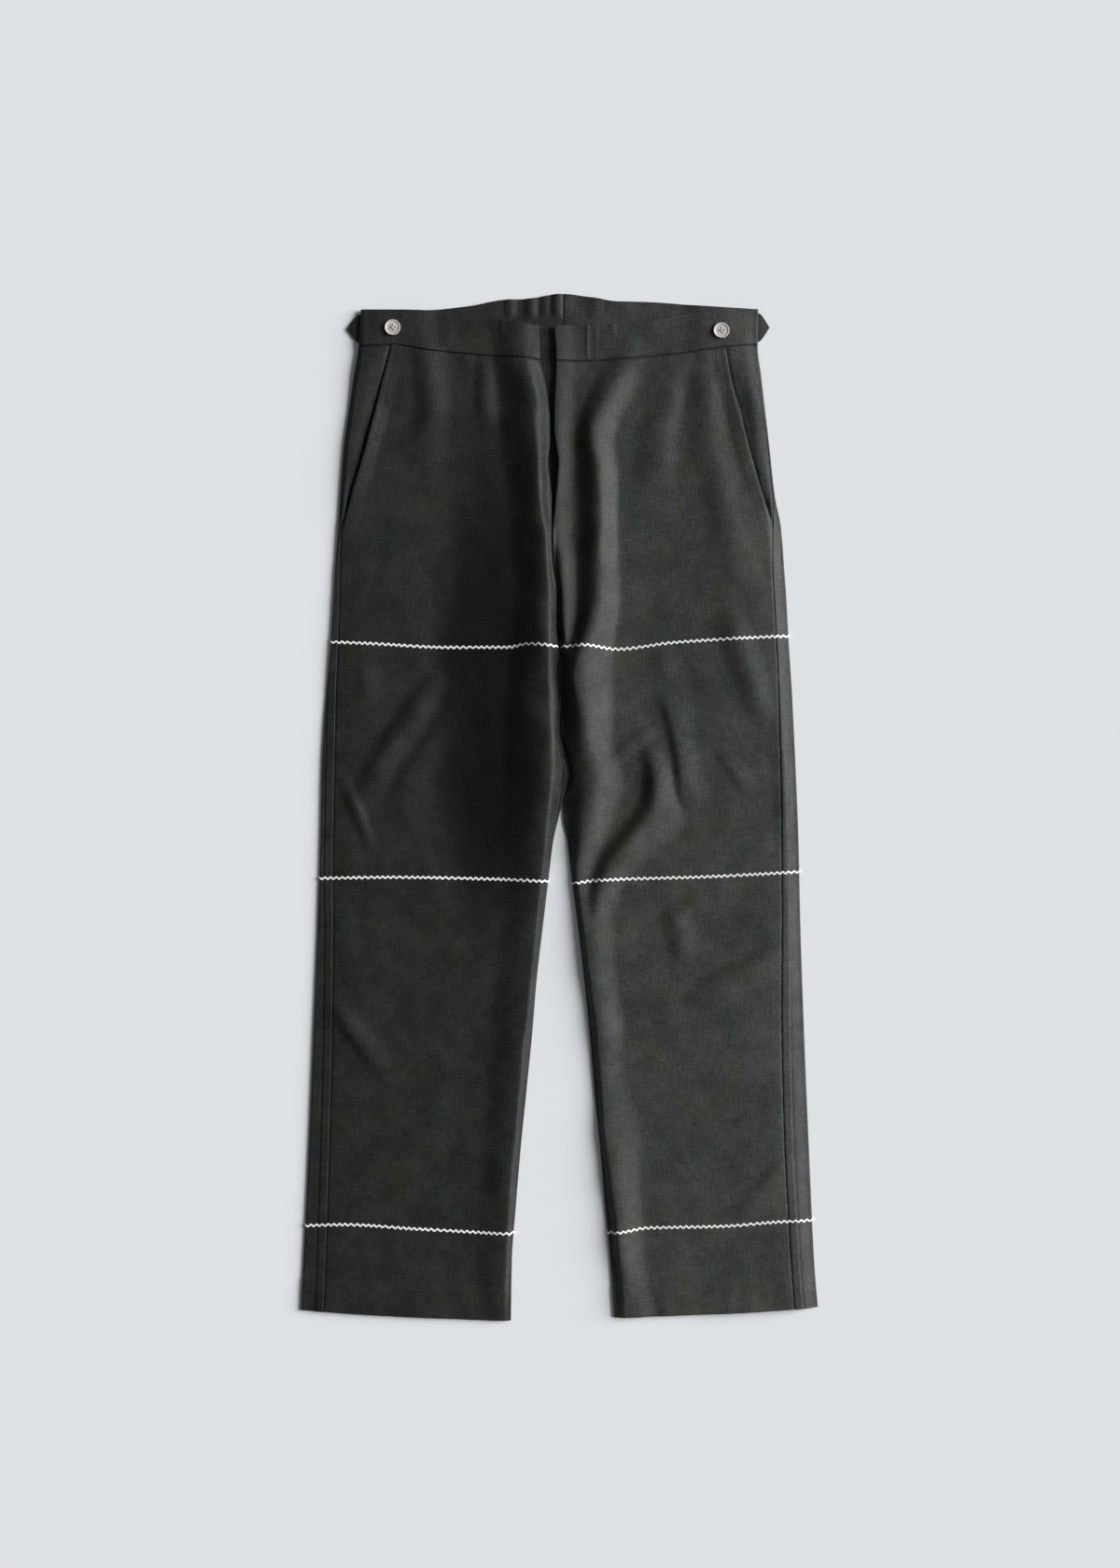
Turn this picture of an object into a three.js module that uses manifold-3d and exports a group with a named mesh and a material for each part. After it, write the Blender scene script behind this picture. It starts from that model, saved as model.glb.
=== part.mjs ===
// Tapered trousers laid flat, front up, on a table. Millimetres: +X runs to the wearer's left leg,
// +Y to the waist and +Z up, and the table is at z = 0. Right and left are the wearer's.
import * as THREE from "three";
import { mergeVertices } from "three/addons/utils/BufferGeometryUtils.js";
import Module from "manifold-3d";

// Cloth
const clothWall = 1.4;
const bandWall = 1.7;
const seamGap = 0.3;
const foldRadius = 2.2;
const quarterFold = (foldRadius * Math.PI) / 2;
const seamStep = 0.8;
const crownHeight = 1.2;
const crownWidth = 40;
const edgeFade = 12;
const leastBend = 0.001;
const mostMitre = 0.77;

// Heights along the garment, from the waist down to the hem
const waistSeamLevel = 465.5;
const pocketEndLevel = 283;
const flyEndLevel = 250;
const bendStartLevel = 195;
const crotchLevel = 168;
const legSplitLevel = 200;
const legSplitEase = 50;
const thighBraidLevel = 163;
const kneeBraidLevel = -71.5;
const hemBraidLevel = -424;
const hemLevel = -512;

// Wavy braid
const braidWidth = 2.6;
const braidThick = 0.9;
const braidRowReach = 2.6;
const braidLowest = 0.9;

// Pocket mouths
const mouthUnderlap = 14;
const mouthStand = 2.1;
const mouthBulge = 1.3;
const mouthFlat = 18;
const mouthEase = 45;
const mouthEndFade = 28;

// Fly underlap
const shieldWall = 1.4;
const shieldBottom = 2.1;
const shieldRightX = -42;
const shieldLeftX = 30;
const shieldTopDrop = 3;
const shieldCorner = 26;

// Backs: where the waist seam turns down towards the sides, and the centre-back seam
const backSeamBend = 120;
const centreBackTop = 3.3;
const centreBackCrotch = 0.8;
const backInnerEase = 20;
const underColumnShare = 0.415;

// Side adjuster tabs
const tabThick = 1.6;
const tabRoom = tabThick + seamGap;
const tabBaseX = 150;
const tabLiftX = 146;
const tabRoomEndLevel = 452;
const tabRoomFadeLevel = 400;
const tabBluntness = 1;
const tabCornerShare = 0.3;
const tabSlantShare = 0.42;
const rightTab = { x: -214.8, y: 483.5, width: 29, point: 9, ease: 4 };
const leftTab = { x: 212.4, y: 485, width: 29, point: 8, ease: 3 };

// Buttons
const buttonRadius = 8;
const buttonThick = 2.6;
const buttonRim = 1.3;
const buttonDish = 0.9;
const buttonHoleRadius = 0.85;
const buttonHoleRing = 2.1;
const buttonSides = 24;
const buttonHoleSides = 8;
const buttonHoleTurn = 0.1;
const buttonFoot = 1.2;
const buttonFootRise = 0.9;
const buttonShoulder = 0.6;
const buttonDishSlope = 0.8;
const rightButtonPlace = { x: -168.3, y: 483.7 };
const leftButtonPlace = { x: 162.9, y: 480.4 };

// Rows of numbers under named columns.
function table(columns, rows) {
  return rows.map((row) => Object.fromEntries(columns.map((name, i) => [name, row[i]])));
}

// Outer side folds, and how far inside them the outseam lies on top
const sides = table(
  ["level", "rightEdge", "leftEdge", "rightInset", "leftInset"],
  [
    [503, -200.6, 200.6, 0, 0],
    [465, -202.5, 198.7, 0, 0],
    [435, -207.2, 200.6, 0, 0],
    [400, -212, 204.5, 0, 0],
    [363, -217.6, 209.1, 0, 0],
    [315, -221, 215.6, 0, 0],
    [283, -222.5, 218.2, 2.8, 2.8],
    [240, -226.4, 223.2, 4.4, 8.5],
    [212, -228, 226.1, 5.6, 9.9],
    [165, -230.8, 229.9, 7.2, 11.2],
    [118, -234.6, 232.7, 9.4, 11.8],
    [42, -239.3, 236.5, 12.4, 13.6],
    [-33, -241.2, 239.3, 12.5, 15],
    [-118, -244, 242.1, 15.2, 17.6],
    [-231, -247.8, 245.9, 18.6, 21.4],
    [-345, -252.5, 250.6, 20.4, 23.2],
    [-458, -258.2, 256.3, 22.2, 22.6],
    [-515, -261.8, 262.4, 23, 24.2],
  ],
);

// Centre front above the crotch, and the inner folds of the legs below it
const inners = table(
  ["level", "rightEdge", "leftEdge", "rightInset"],
  [
    [503, -21.5, -7.2, 0],
    [452, -19.4, -3.8, 0],
    [434, -15.5, -4.1, 0],
    [406, -10.6, -5.5, 0],
    [384, -9.4, -5.8, 0],
    [365, -9.6, -3.7, 0],
    [349, -11.4, -1.7, 0],
    [329, -9.3, -2.8, 0],
    [309, -7.8, -4.6, 0],
    [274, -7.9, -7.5, 0],
    [250, -7.1, -6.7, 0],
    [216, -2.5, -2.1, 0],
    [190, -2.2, -1.8, 0],
    [165, 0.5, 1.1, 0],
    [137, -3, -2.4, 0],
    [110, 0.8, 1.4, 0],
    [77, -0.3, 0.3, 0],
    [57, 4.2, 4.8, 2.4],
    [35, 9, 9.6, 5],
    [20, 6.5, 7.1, 6.6],
    [5, 2.8, 3.4, 5.6],
    [-10, -0.7, 3.8, 4],
    [-33, -6.1, 8, 2.2],
    [-71, -10.9, 12.3, 0],
    [-118, -16.5, 18.4, 0],
    [-175, -23.1, 25, 0],
    [-231, -27.8, 30.7, 0],
    [-288, -33.5, 35.4, 0],
    [-345, -39.2, 41.1, 0],
    [-401, -43.9, 45.8, 0],
    [-458, -48.1, 51.4, 0],
    [-520, -49.1, 55.9, 0],
  ],
);

// Slanted pocket mouths
const mouths = table(
  ["level", "right", "left"],
  [
    [467, -169.9, 168],
    [447, -175.1, 171.4],
    [418, -184.6, 176.8],
    [384, -194.4, 185],
    [350, -202, 194.1],
    [320, -208.7, 202],
    [301, -213.8, 208.4],
    [283, -219.5, 215.2],
  ],
);

// Lines that run across the garment
const frontTopPoints = table(
  ["x", "y"],
  [
    [-200, 502.7],
    [-137, 501.8],
    [-121, 499.4],
    [-97, 496.5],
    [-45, 490.4],
    [-21, 487.4],
    [-7, 486.5],
    [53, 487.9],
    [85, 490.5],
    [114, 495.5],
    [146, 499.8],
    [171, 503.1],
    [200, 503.1],
  ],
);
const frontSeamPoints = table(
  ["x", "y"],
  [
    [-202, 465.4],
    [-169, 467.3],
    [-134, 462.1],
    [-97, 458.5],
    [-61, 455.5],
    [-19, 451.9],
    [-5, 450.8],
    [31, 451.1],
    [80, 454.4],
    [119, 458],
    [163, 464],
    [199, 467.3],
  ],
);
const backTopPoints = table(
  ["x", "y"],
  [
    [-200, 502.7],
    [-138, 502.4],
    [-91, 506.7],
    [-54, 513.1],
    [-37, 513.5],
    [3, 518.6],
    [35, 515.2],
    [57, 511.6],
    [90, 510.7],
    [141, 506.9],
    [200, 503.1],
  ],
);
const backSeamPoints = table(
  ["x", "y"],
  [
    [-202, 465.4],
    [-120, 468.6],
    [-50, 477.4],
    [3, 483.2],
    [50, 477],
    [120, 473.4],
    [199, 467.3],
  ],
);
const thighBraidPoints = table(
  ["x", "y"],
  [
    [-231, 167.1],
    [-188, 165.2],
    [-113, 161.4],
    [-52, 161.4],
    [-33, 164.3],
    [0, 162],
    [24, 163.3],
    [57, 159.6],
    [114, 166.1],
    [230, 172.8],
  ],
);
const kneeBraidPoints = table(
  ["x", "y"],
  [
    [-241, -71.7],
    [-169, -70.6],
    [-56, -72.7],
    [-11, -74.6],
    [12, -76.5],
    [38, -73.6],
    [151, -69.9],
    [241, -65.1],
  ],
);
const hemBraidPoints = table(
  ["x", "y"],
  [
    [-256, -422.5],
    [-217, -421.2],
    [-143, -425.6],
    [-46, -429.9],
    [49, -429.3],
    [91, -424.4],
    [163, -422.6],
    [231, -417.4],
    [256, -416.9],
  ],
);
const hemPoints = table(
  ["x", "y"],
  [
    [-261, -507.9],
    [-196, -512.6],
    [-117, -516.4],
    [-49, -518.6],
    [56, -515.6],
    [137, -512.6],
    [207, -508.8],
    [261, -504.6],
  ],
);

// Long folds that run down the cloth: crest, height, and reach towards each side
const longFoldColumns = ["level", "x", "height", "minus", "plus"];
const longFolds = {
  rightOfFly: table(longFoldColumns, [
    [503, -28, 5, 34, 10],
    [452, -27, 10, 38, 10],
    [406, -27, 11, 38, 16],
    [373, -27, 11, 38, 17],
    [349, -24, 11, 36, 13],
    [326, -18, 10.5, 36, 10],
    [288, -15, 10, 36, 9],
    [250, -12, 9, 36, 9],
    [165, -11, 8, 36, 10],
    [108, -8, 5, 32, 10],
    [60, -6, 0, 30, 10],
  ]),
  flyPlacket: table(longFoldColumns, [
    [503, 3, 1.5, 9, 13],
    [450, 3, 4, 8, 13],
    [400, 3, 5, 9, 13],
    [350, 5, 5, 8, 12],
    [300, 3, 5.5, 9, 12],
    [250, 2, 5, 9, 12],
    [200, 5, 4, 9, 12],
    [165, 9, 3, 9, 11],
    [120, 10, 0, 9, 11],
  ]),
  leftThigh: table(longFoldColumns, [
    [458, 90, 0, 22, 24],
    [444, 85, 4, 22, 24],
    [408, 62, 7, 22, 22],
    [376, 39, 8, 20, 20],
    [360, 36, 8.5, 20, 18],
    [332, 43, 9, 24, 20],
    [242, 42, 9, 24, 20],
    [165, 44, 9, 26, 20],
    [99, 39, 9, 28, 20],
    [33, 41, 8, 28, 20],
    [14, 50, 7, 28, 22],
    [-10, 42, 6, 26, 22],
    [-38, 26, 4, 16, 20],
    [-64, 22, 0, 10, 18],
  ]),
  rightInnerLip: table(longFoldColumns, [
    [-60, -19, 0, 24, 8],
    [-118, -24, 2.5, 24, 8],
    [-175, -31, 3.5, 24, 8],
    [-231, -36, 3.5, 24, 8],
    [-345, -47, 3, 24, 8],
    [-458, -56, 2.2, 24, 8],
    [-520, -57, 1.4, 24, 8],
  ]),
};

// Shorter folds, each from one end of its crest to the other
const shortFolds = table(
  ["fromX", "fromY", "toX", "toY", "bow", "height", "minus", "plus"],
  [
    [95, 56, 99, -8, 3, 6, 13, 26],
    [99, 8, 50, -70, 2, 6, 14, 26],
    [127, 74, 129, 12, 0, 3, 12, 22],
    [85, 90, 66, 52, 0, 3, 12, 16],
    [-137, 122, -201, 18, -4, 5, 20, 26],
    [-105, 108, -165, 6, -4, 3.5, 16, 26],
    [-214, 24, -184, -42, 2, 2.6, 12, 12],
    [-134, 470, -131, 358, 4, 3, 22, 22],
    [-75, 446, -75, 384, 0, 2.4, 14, 14],
    [146, 392, 174, 240, 4, 3, 30, 26],
    [120, -100, 132, -160, 0, 2.6, 20, 22],
    [220, -148, 128, -204, -4, 3.2, 16, 30],
    [39, -132, 40, -252, 0, 2, 12, 20],
    [236, -360, 184, -420, 0, 2.6, 14, 24],
    [-226, -204, -173, -268, 0, 2.2, 16, 22],
  ],
);

// Small ridges across the part of the back waistband whose inside shows
const backBandFolds = table(
  ["x", "height", "width"],
  [
    [-49, 2.4, 9],
    [-27, 3, 8],
    [-11, 2.2, 7],
    [1, 2.6, 6],
    [37, 2.4, 10],
  ],
);
const backBandFoldStart = 491;
const backBandFoldFade = 12;

// How many rows of points each stretch of a leg has
const stretches = table(
  ["level", "rows"],
  [
    [waistSeamLevel, 8],
    [pocketEndLevel, 2],
    [flyEndLevel, 3],
    [bendStartLevel, 2],
    [crotchLevel, 1],
    [thighBraidLevel + braidRowReach, 1],
    [thighBraidLevel - braidRowReach, 9],
    [kneeBraidLevel + braidRowReach, 1],
    [kneeBraidLevel - braidRowReach, 10],
    [hemBraidLevel + braidRowReach, 1],
    [hemBraidLevel - braidRowReach, 3],
    [hemLevel, 0],
  ],
);

// Places of a front's points across its width, close together beside the fly and the inner fold
const frontColumns = [
  0, 0.07, 0.14, 0.22, 0.3, 0.37, 0.44, 0.51, 0.58, 0.65, 0.71, 0.77, 0.82, 0.865, 0.9, 0.93, 0.955,
  0.98, 1,
];

function smooth(value) {
  return THREE.MathUtils.smoothstep(value, 0, 1);
}

function mix(a, b, share) {
  return a + (b - a) * share;
}

// A smooth function through a table's rows, from one column to another, level past its ends.
function along(rows, from, to) {
  const sorted = [...rows].sort((a, b) => a[from] - b[from]);
  const at = sorted.map((row) => row[from]);
  const value = sorted.map((row) => row[to]);
  const last = at.length - 1;
  const slope = at.slice(1).map((next, i) => (value[i + 1] - value[i]) / (next - at[i]));
  const tangent = at.map((_, i) => {
    if (i === 0) return slope[0];
    if (i === last) return slope[last - 1];
    const product = slope[i - 1] * slope[i];
    return product <= 0 ? 0 : (2 * product) / (slope[i - 1] + slope[i]);
  });
  return (wanted) => {
    if (wanted <= at[0]) return value[0];
    if (wanted >= at[last]) return value[last];
    const i = at.findIndex((end) => end > wanted) - 1;
    const span = at[i + 1] - at[i];
    const u = (wanted - at[i]) / span;
    const bend = u * u * (3 - 2 * u);
    return (
      mix(value[i], value[i + 1], bend) +
      span * u * (1 - u) * ((1 - u) * tangent[i] - u * tangent[i + 1])
    );
  };
}

// A line of straight pieces through a table's rows
function straightAlong(rows, from, to) {
  return (wanted) => {
    const next = rows.findIndex((row) => row[from] > wanted);
    const i = next < 0 ? rows.length - 1 : Math.max(next, 1);
    const share = (wanted - rows[i - 1][from]) / (rows[i][from] - rows[i - 1][from]);
    return mix(rows[i - 1][to], rows[i][to], THREE.MathUtils.clamp(share, 0, 1));
  };
}

const frontTop = along(frontTopPoints, "x", "y");
const frontSeam = along(frontSeamPoints, "x", "y");
const backTop = along(backTopPoints, "x", "y");
const backSeam = straightAlong(backSeamPoints, "x", "y");
const hemLine = along(hemPoints, "x", "y");
const braidLines = {
  thigh: { level: thighBraidLevel, line: along(thighBraidPoints, "x", "y") },
  knee: { level: kneeBraidLevel, line: along(kneeBraidPoints, "x", "y") },
  hem: { level: hemBraidLevel, line: along(hemBraidPoints, "x", "y") },
};

// Each leg: inward is the direction from its outer fold to its inner one.
const right = {
  name: "right",
  inward: 1,
  outer: along(sides, "level", "rightEdge"),
  outseam: along(sides, "level", "rightInset"),
  inner: along(inners, "level", "rightEdge"),
  inseam: along(inners, "level", "rightInset"),
  mouth: along(mouths, "level", "right"),
};
const left = {
  name: "left",
  inward: -1,
  outer: along(sides, "level", "leftEdge"),
  outseam: along(sides, "level", "leftInset"),
  inner: along(inners, "level", "leftEdge"),
  inseam: () => 0,
  mouth: along(mouths, "level", "left"),
};

// Where a back panel ends: at the centre-back seam, and below the crotch at the leg's inner fold.
function backInner(leg, y) {
  if (y <= crotchLevel) return leg.inner(y);
  const rise = (y - crotchLevel) / (waistSeamLevel - crotchLevel);
  const seam = mix(centreBackCrotch, centreBackTop, Math.min(rise, 1));
  const edge = seam - (leg.inward * seamGap) / 2;
  return mix(leg.inner(crotchLevel), edge, smooth((y - crotchLevel) / backInnerEase));
}

// 0 where the two legs are one body, 1 where the tops of the legs fall to a valley between them
function split(y) {
  return 1 - smooth((y - legSplitLevel) / legSplitEase);
}

// 0 where the cloth crosses the centre flat, 1 where it bends round a leg's inner fold
function bend(y) {
  return Math.max(1 - smooth((y - crotchLevel) / (bendStartLevel - crotchLevel)), leastBend);
}

// The side ends of the waist lie on the tabs.
function lift(x, y) {
  const across = smooth((Math.abs(x) - backSeamBend) / (tabLiftX - backSeamBend));
  return tabRoom * across * smooth((y - tabRoomFadeLevel) / (tabRoomEndLevel - tabRoomFadeLevel));
}

// A ridge's height at a distance from its crest, reaching differently far to each side
function ridge(distance, minus, plus) {
  const share = Math.abs(distance) / (distance < 0 ? minus : plus);
  return share >= 1 ? 0 : 0.5 + 0.5 * Math.cos(Math.PI * share);
}

function longFold(rows) {
  const crest = along(rows, "level", "x");
  const height = along(rows, "level", "height");
  const minus = along(rows, "level", "minus");
  const plus = along(rows, "level", "plus");
  const levels = rows.map((row) => row.level);
  const top = Math.max(...levels);
  const bottom = Math.min(...levels);
  return (x, y) =>
    y > top || y < bottom ? 0 : height(y) * ridge(x - crest(y), minus(y), plus(y));
}

const endShare = 0.32;

function shortFold(fold) {
  const runX = fold.toX - fold.fromX;
  const runY = fold.toY - fold.fromY;
  const length = Math.hypot(runX, runY);
  const facing = runY > 0 ? 1 : -1;
  const normalX = (facing * runY) / length;
  const normalY = (-facing * runX) / length;
  return (x, y) => {
    const share = ((x - fold.fromX) * runX + (y - fold.fromY) * runY) / (length * length);
    if (share <= 0 || share >= 1) return 0;
    const offset = (x - fold.fromX) * normalX + (y - fold.fromY) * normalY;
    const distance = offset - fold.bow * 4 * share * (1 - share);
    const ends = smooth(share / endShare) * smooth((1 - share) / endShare);
    return fold.height * ends * ridge(distance, fold.minus, fold.plus);
  };
}

const folds = [...Object.values(longFolds).map(longFold), ...shortFolds.map(shortFold)];

// The height of the top cloth's outer face above the table
function topHeight(leg, x, y) {
  const fromOuter = Math.abs(x - leg.outer(y));
  const fromInner = Math.abs(x - leg.inner(y));
  const apart = split(y);
  const crown =
    crownHeight * smooth(fromOuter / crownWidth) * mix(1, smooth(fromInner / crownWidth), apart);
  const folded = folds.reduce((sum, fold) => sum + fold(x, y), 0);
  const fade = smooth(fromOuter / edgeFade) * mix(1, smooth(fromInner / edgeFade), apart);
  return 2 * foldRadius + lift(x, y) + crown + folded * fade;
}

// A front stands above the facing along its pocket mouth.
function mouthRise(leg, x, y) {
  const inside = leg.inward * (x - leg.mouth(y));
  const middle = (y - pocketEndLevel) / (waistSeamLevel - pocketEndLevel);
  const bulge = mouthBulge * Math.sin(Math.PI * THREE.MathUtils.clamp(middle, 0, 1));
  const ends = smooth((y - pocketEndLevel + mouthEndFade) / mouthEndFade);
  return (mouthStand + bulge) * ends * (1 - smooth((inside - mouthFlat) / mouthEase));
}

function frontHeight(leg, x, y) {
  return topHeight(leg, x, y) + mouthRise(leg, x, y);
}

// The underside lies on the table, but for the waist's side ends.
function bottomHeight(leg, x, y) {
  return lift(x, y);
}

// Developed length from a fold's outermost line to a seam that lies inside it on top
function insetLength(inset) {
  const curved = Math.min(inset, foldRadius);
  return foldRadius * Math.acos(1 - curved / foldRadius) + Math.max(inset - foldRadius, 0);
}

// A point of a section at a developed distance from the fold's outermost line, positive over the
// top and negative underneath. inward is the direction into the panel.
function foldPoint(edge, inward, distance, curl, y, top, bottom) {
  const radius = foldRadius / curl;
  const tangentX = edge + inward * radius * Math.sin((curl * Math.PI) / 2);
  const height = distance > 0 ? top : bottom;
  const past = Math.abs(distance) - quarterFold;
  if (past >= 0) {
    const x = tangentX + inward * past;
    return new THREE.Vector3(x, y, height(x, y));
  }
  const angle = (curl * -past) / foldRadius;
  const drop = (distance > 0 ? 1 : -1) * radius * (1 - Math.cos(angle));
  return new THREE.Vector3(
    tangentX - inward * radius * Math.sin(angle),
    y,
    height(tangentX, y) - drop,
  );
}

// Heights of the section rows from the waist seam to the hem
function sectionLevels() {
  const levels = [];
  stretches.forEach((stretch, i) => {
    for (let row = 0; row < stretch.rows; row += 1) {
      levels.push(mix(stretch.level, stretches[i + 1].level, row / stretch.rows));
    }
  });
  levels.push(hemLevel);
  return levels;
}

const levels = sectionLevels();

// The true y of a row at x: rows follow the seam, the braids and the hem.
function rowHeight(level, x, waistLine) {
  const lines = [
    { level: waistSeamLevel, line: waistLine },
    braidLines.thigh,
    braidLines.knee,
    braidLines.hem,
    { level: hemLevel, line: hemLine },
  ];
  const below = Math.max(lines.findIndex((entry) => entry.level <= level), 1);
  const upper = lines[below - 1];
  const lower = lines[below];
  const share = (upper.level - level) / (upper.level - lower.level);
  return level + mix(upper.line(x) - upper.level, lower.line(x) - lower.level, share);
}

// Settles a point whose x depends on its y and whose y depends on its x.
function settle(level, waistLine, place) {
  let point = place(level);
  for (let turn = 0; turn < 3; turn += 1) {
    point = place(rowHeight(level, point.x, waistLine));
  }
  return point;
}

// The way a line of points runs in one section, as an angle, from each point to the next
function sectionAngles(points) {
  return points.slice(1).map((next, i) => Math.atan2(next.z - points[i].z, next.x - points[i].x));
}

function turnBetween(from, to) {
  return Math.atan2(Math.sin(to - from), Math.cos(to - from));
}

// The inner face of a wall, from the outer points of one section. At its ends the line goes on
// turning as it does beside them.
function innerFace(points, wall) {
  const angles = sectionAngles(points);
  const turns = angles.slice(1).map((angle, i) => turnBetween(angles[i], angle));
  const last = points.length - 1;
  return points.map((point, i) => {
    const half = turns[THREE.MathUtils.clamp(i - 1, 0, turns.length - 1)] / 2;
    const angle = i === last ? angles[last - 1] + half : angles[i] - half;
    const reach = i === 0 || i === last ? wall : wall / Math.max(Math.cos(half), mostMitre);
    return new THREE.Vector3(
      point.x + Math.sin(angle) * reach,
      point.y,
      point.z - Math.cos(angle) * reach,
    );
  });
}

// A closed wall from rows of outer points. turn is 1 where the rows run so that their right hand
// side is the inside of the garment.
function wallGeometry(rows, turn, wall) {
  const columns = rows[0].length;
  const inner = rows.map((row) => innerFace(row, wall * turn));
  const positions = [...rows.flat(), ...inner.flat()].flatMap((point) => point.toArray());
  const index = [];
  const outerAt = (row, column) => row * columns + column;
  const innerAt = (row, column) => (rows.length + row) * columns + column;
  const quad = (a, b, c, d) => index.push(a, b, c, a, c, d);
  for (let row = 0; row + 1 < rows.length; row += 1) {
    for (let column = 0; column + 1 < columns; column += 1) {
      quad(
        outerAt(row, column),
        outerAt(row + 1, column),
        outerAt(row + 1, column + 1),
        outerAt(row, column + 1),
      );
      quad(
        innerAt(row, column),
        innerAt(row, column + 1),
        innerAt(row + 1, column + 1),
        innerAt(row + 1, column),
      );
    }
  }
  const end = columns - 1;
  const foot = rows.length - 1;
  for (let row = 0; row < foot; row += 1) {
    quad(outerAt(row, 0), innerAt(row, 0), innerAt(row + 1, 0), outerAt(row + 1, 0));
    quad(outerAt(row + 1, end), innerAt(row + 1, end), innerAt(row, end), outerAt(row, end));
  }
  for (let column = 0; column < end; column += 1) {
    quad(outerAt(0, column), outerAt(0, column + 1), innerAt(0, column + 1), innerAt(0, column));
    quad(
      outerAt(foot, column + 1),
      outerAt(foot, column),
      innerAt(foot, column),
      innerAt(foot, column + 1),
    );
  }
  if (turn < 0) index.reverse();
  return new THREE.BufferGeometry()
    .setAttribute("position", new THREE.Float32BufferAttribute(positions, 3))
    .setIndex(index);
}

function clothMaterial() {
  return new THREE.MeshStandardMaterial({ color: 0x33342f, roughness: 0.72, metalness: 0 });
}

function facingMaterial() {
  return new THREE.MeshStandardMaterial({ color: 0x2f302c, roughness: 0.74, metalness: 0 });
}

function braidMaterial() {
  return new THREE.MeshStandardMaterial({ color: 0xe9e8e4, roughness: 0.8, metalness: 0 });
}

function buttonMaterial() {
  return new THREE.MeshStandardMaterial({ color: 0xcfcac4, roughness: 0.35, metalness: 0 });
}

function named(name, geometry, material) {
  const mesh = new THREE.Mesh(geometry, material);
  mesh.name = name;
  return mesh;
}

// Where the front's cloth starts on the outer side: the pocket mouth, and the outseam below it
function frontStart(leg, y) {
  if (y > pocketEndLevel) return leg.mouth(y);
  return leg.outer(y) + leg.inward * (leg.outseam(y) + seamGap / 2);
}

// Outer points of a front in one section, from the outer side to the fly or the inseam
function frontRow(leg, level) {
  const atInner = (step) => (y) => {
    const end = insetLength(leg.inseam(y)) + seamGap / 2;
    const distance = Math.max(end + step * seamStep, (step * quarterFold) / 2);
    return foldPoint(
      leg.inner(y),
      -leg.inward,
      step === 0 ? end : distance,
      bend(y),
      y,
      (x, at) => frontHeight(leg, x, at),
      (x, at) => bottomHeight(leg, x, at),
    );
  };
  const seam = (x) => frontSeam(x) - seamGap / 2;
  const across = frontColumns.map((share) =>
    settle(level, seam, (y) => {
      const x = mix(frontStart(leg, y), atInner(2)(y).x, share);
      return new THREE.Vector3(x, y, frontHeight(leg, x, y));
    }),
  );
  return [...across, settle(level, seam, atInner(1)), settle(level, seam, atInner(0))];
}

function front(leg) {
  const rows = levels.map((level) => frontRow(leg, level));
  return named(`${leg.name}_front`, wallGeometry(rows, leg.inward, clothWall), clothMaterial());
}

// Developed distances of a back's points round a fold, from underneath to its seam on top
function wrapDistances(end) {
  const start = -quarterFold / 2;
  const caps = [0, quarterFold / 2, quarterFold, Infinity];
  const over = caps.map((cap, i) => Math.min(mix(start, end, (i + 1) / caps.length), cap));
  return [-quarterFold, start, ...over];
}

// Outer points of a back in one section: up over the outer fold, along the table, up to the inseam
function backRow(leg, level) {
  const seam = (x) => backSeam(x) - seamGap / 2;
  const top = (x, y) => topHeight(leg, x, y);
  const bottom = (x, y) => bottomHeight(leg, x, y);
  const wrapCount = wrapDistances(0).length;
  const outerAt = (i) =>
    settle(level, seam, (y) => {
      const distances = wrapDistances(insetLength(leg.outseam(y)) - seamGap / 2);
      return foldPoint(leg.outer(y), leg.inward, distances[i], 1, y, top, bottom);
    });
  const innerAt = (i) =>
    settle(level, seam, (y) => {
      const distances = wrapDistances(insetLength(leg.inseam(y)) - seamGap / 2);
      return foldPoint(backInner(leg, y), -leg.inward, distances[i], bend(y), y, top, bottom);
    });
  const order = [...Array(wrapCount).keys()];
  const outerSide = order.map((i) => outerAt(wrapCount - 1 - i));
  const innerSide = order.map((i) => innerAt(i));
  const seamBend = -leg.inward * backSeamBend;
  const middleX = mix(innerSide[0].x, seamBend, underColumnShare);
  const underneath = [-leg.inward * tabLiftX, seamBend, middleX].map((x) =>
    settle(level, seam, (y) => new THREE.Vector3(x, y, bottomHeight(leg, x, y))),
  );
  return [...outerSide, ...underneath, ...innerSide];
}

function back(leg) {
  const rows = levels.map((level) => backRow(leg, level));
  return named(`${leg.name}_back`, wallGeometry(rows, -leg.inward, clothWall), clothMaterial());
}

const facingColumns = [0, 0.16, 0.34, 0.55, 0.78, 1];

// The facing shows between the mouth and the side, and runs on under the front.
function pocketFacing(leg) {
  const seam = (x) => frontSeam(x) - seamGap;
  const top = (x, y) => topHeight(leg, x, y);
  const rows = levels
    .filter((level) => level >= pocketEndLevel)
    .map((level) => {
      const round = (step) => (y) => {
        const start = insetLength(leg.outseam(y)) + seamGap / 2;
        const distance = Math.max(start + step * seamStep, (step * quarterFold) / 2);
        return foldPoint(leg.outer(y), leg.inward, step === 0 ? start : distance, 1, y, top, top);
      };
      const across = facingColumns.map((share) =>
        settle(level, seam, (y) => {
          const to = leg.mouth(y) + leg.inward * mouthUnderlap;
          const x = mix(round(2)(y).x, to, share);
          return new THREE.Vector3(x, y, topHeight(leg, x, y));
        }),
      );
      const rounded = [0, 1].map((step) => settle(level, seam, round(step)));
      return [...rounded, ...across];
    });
  const name = `${leg.name}_pocket_facing`;
  return named(name, wallGeometry(rows, leg.inward, clothWall), facingMaterial());
}

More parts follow.
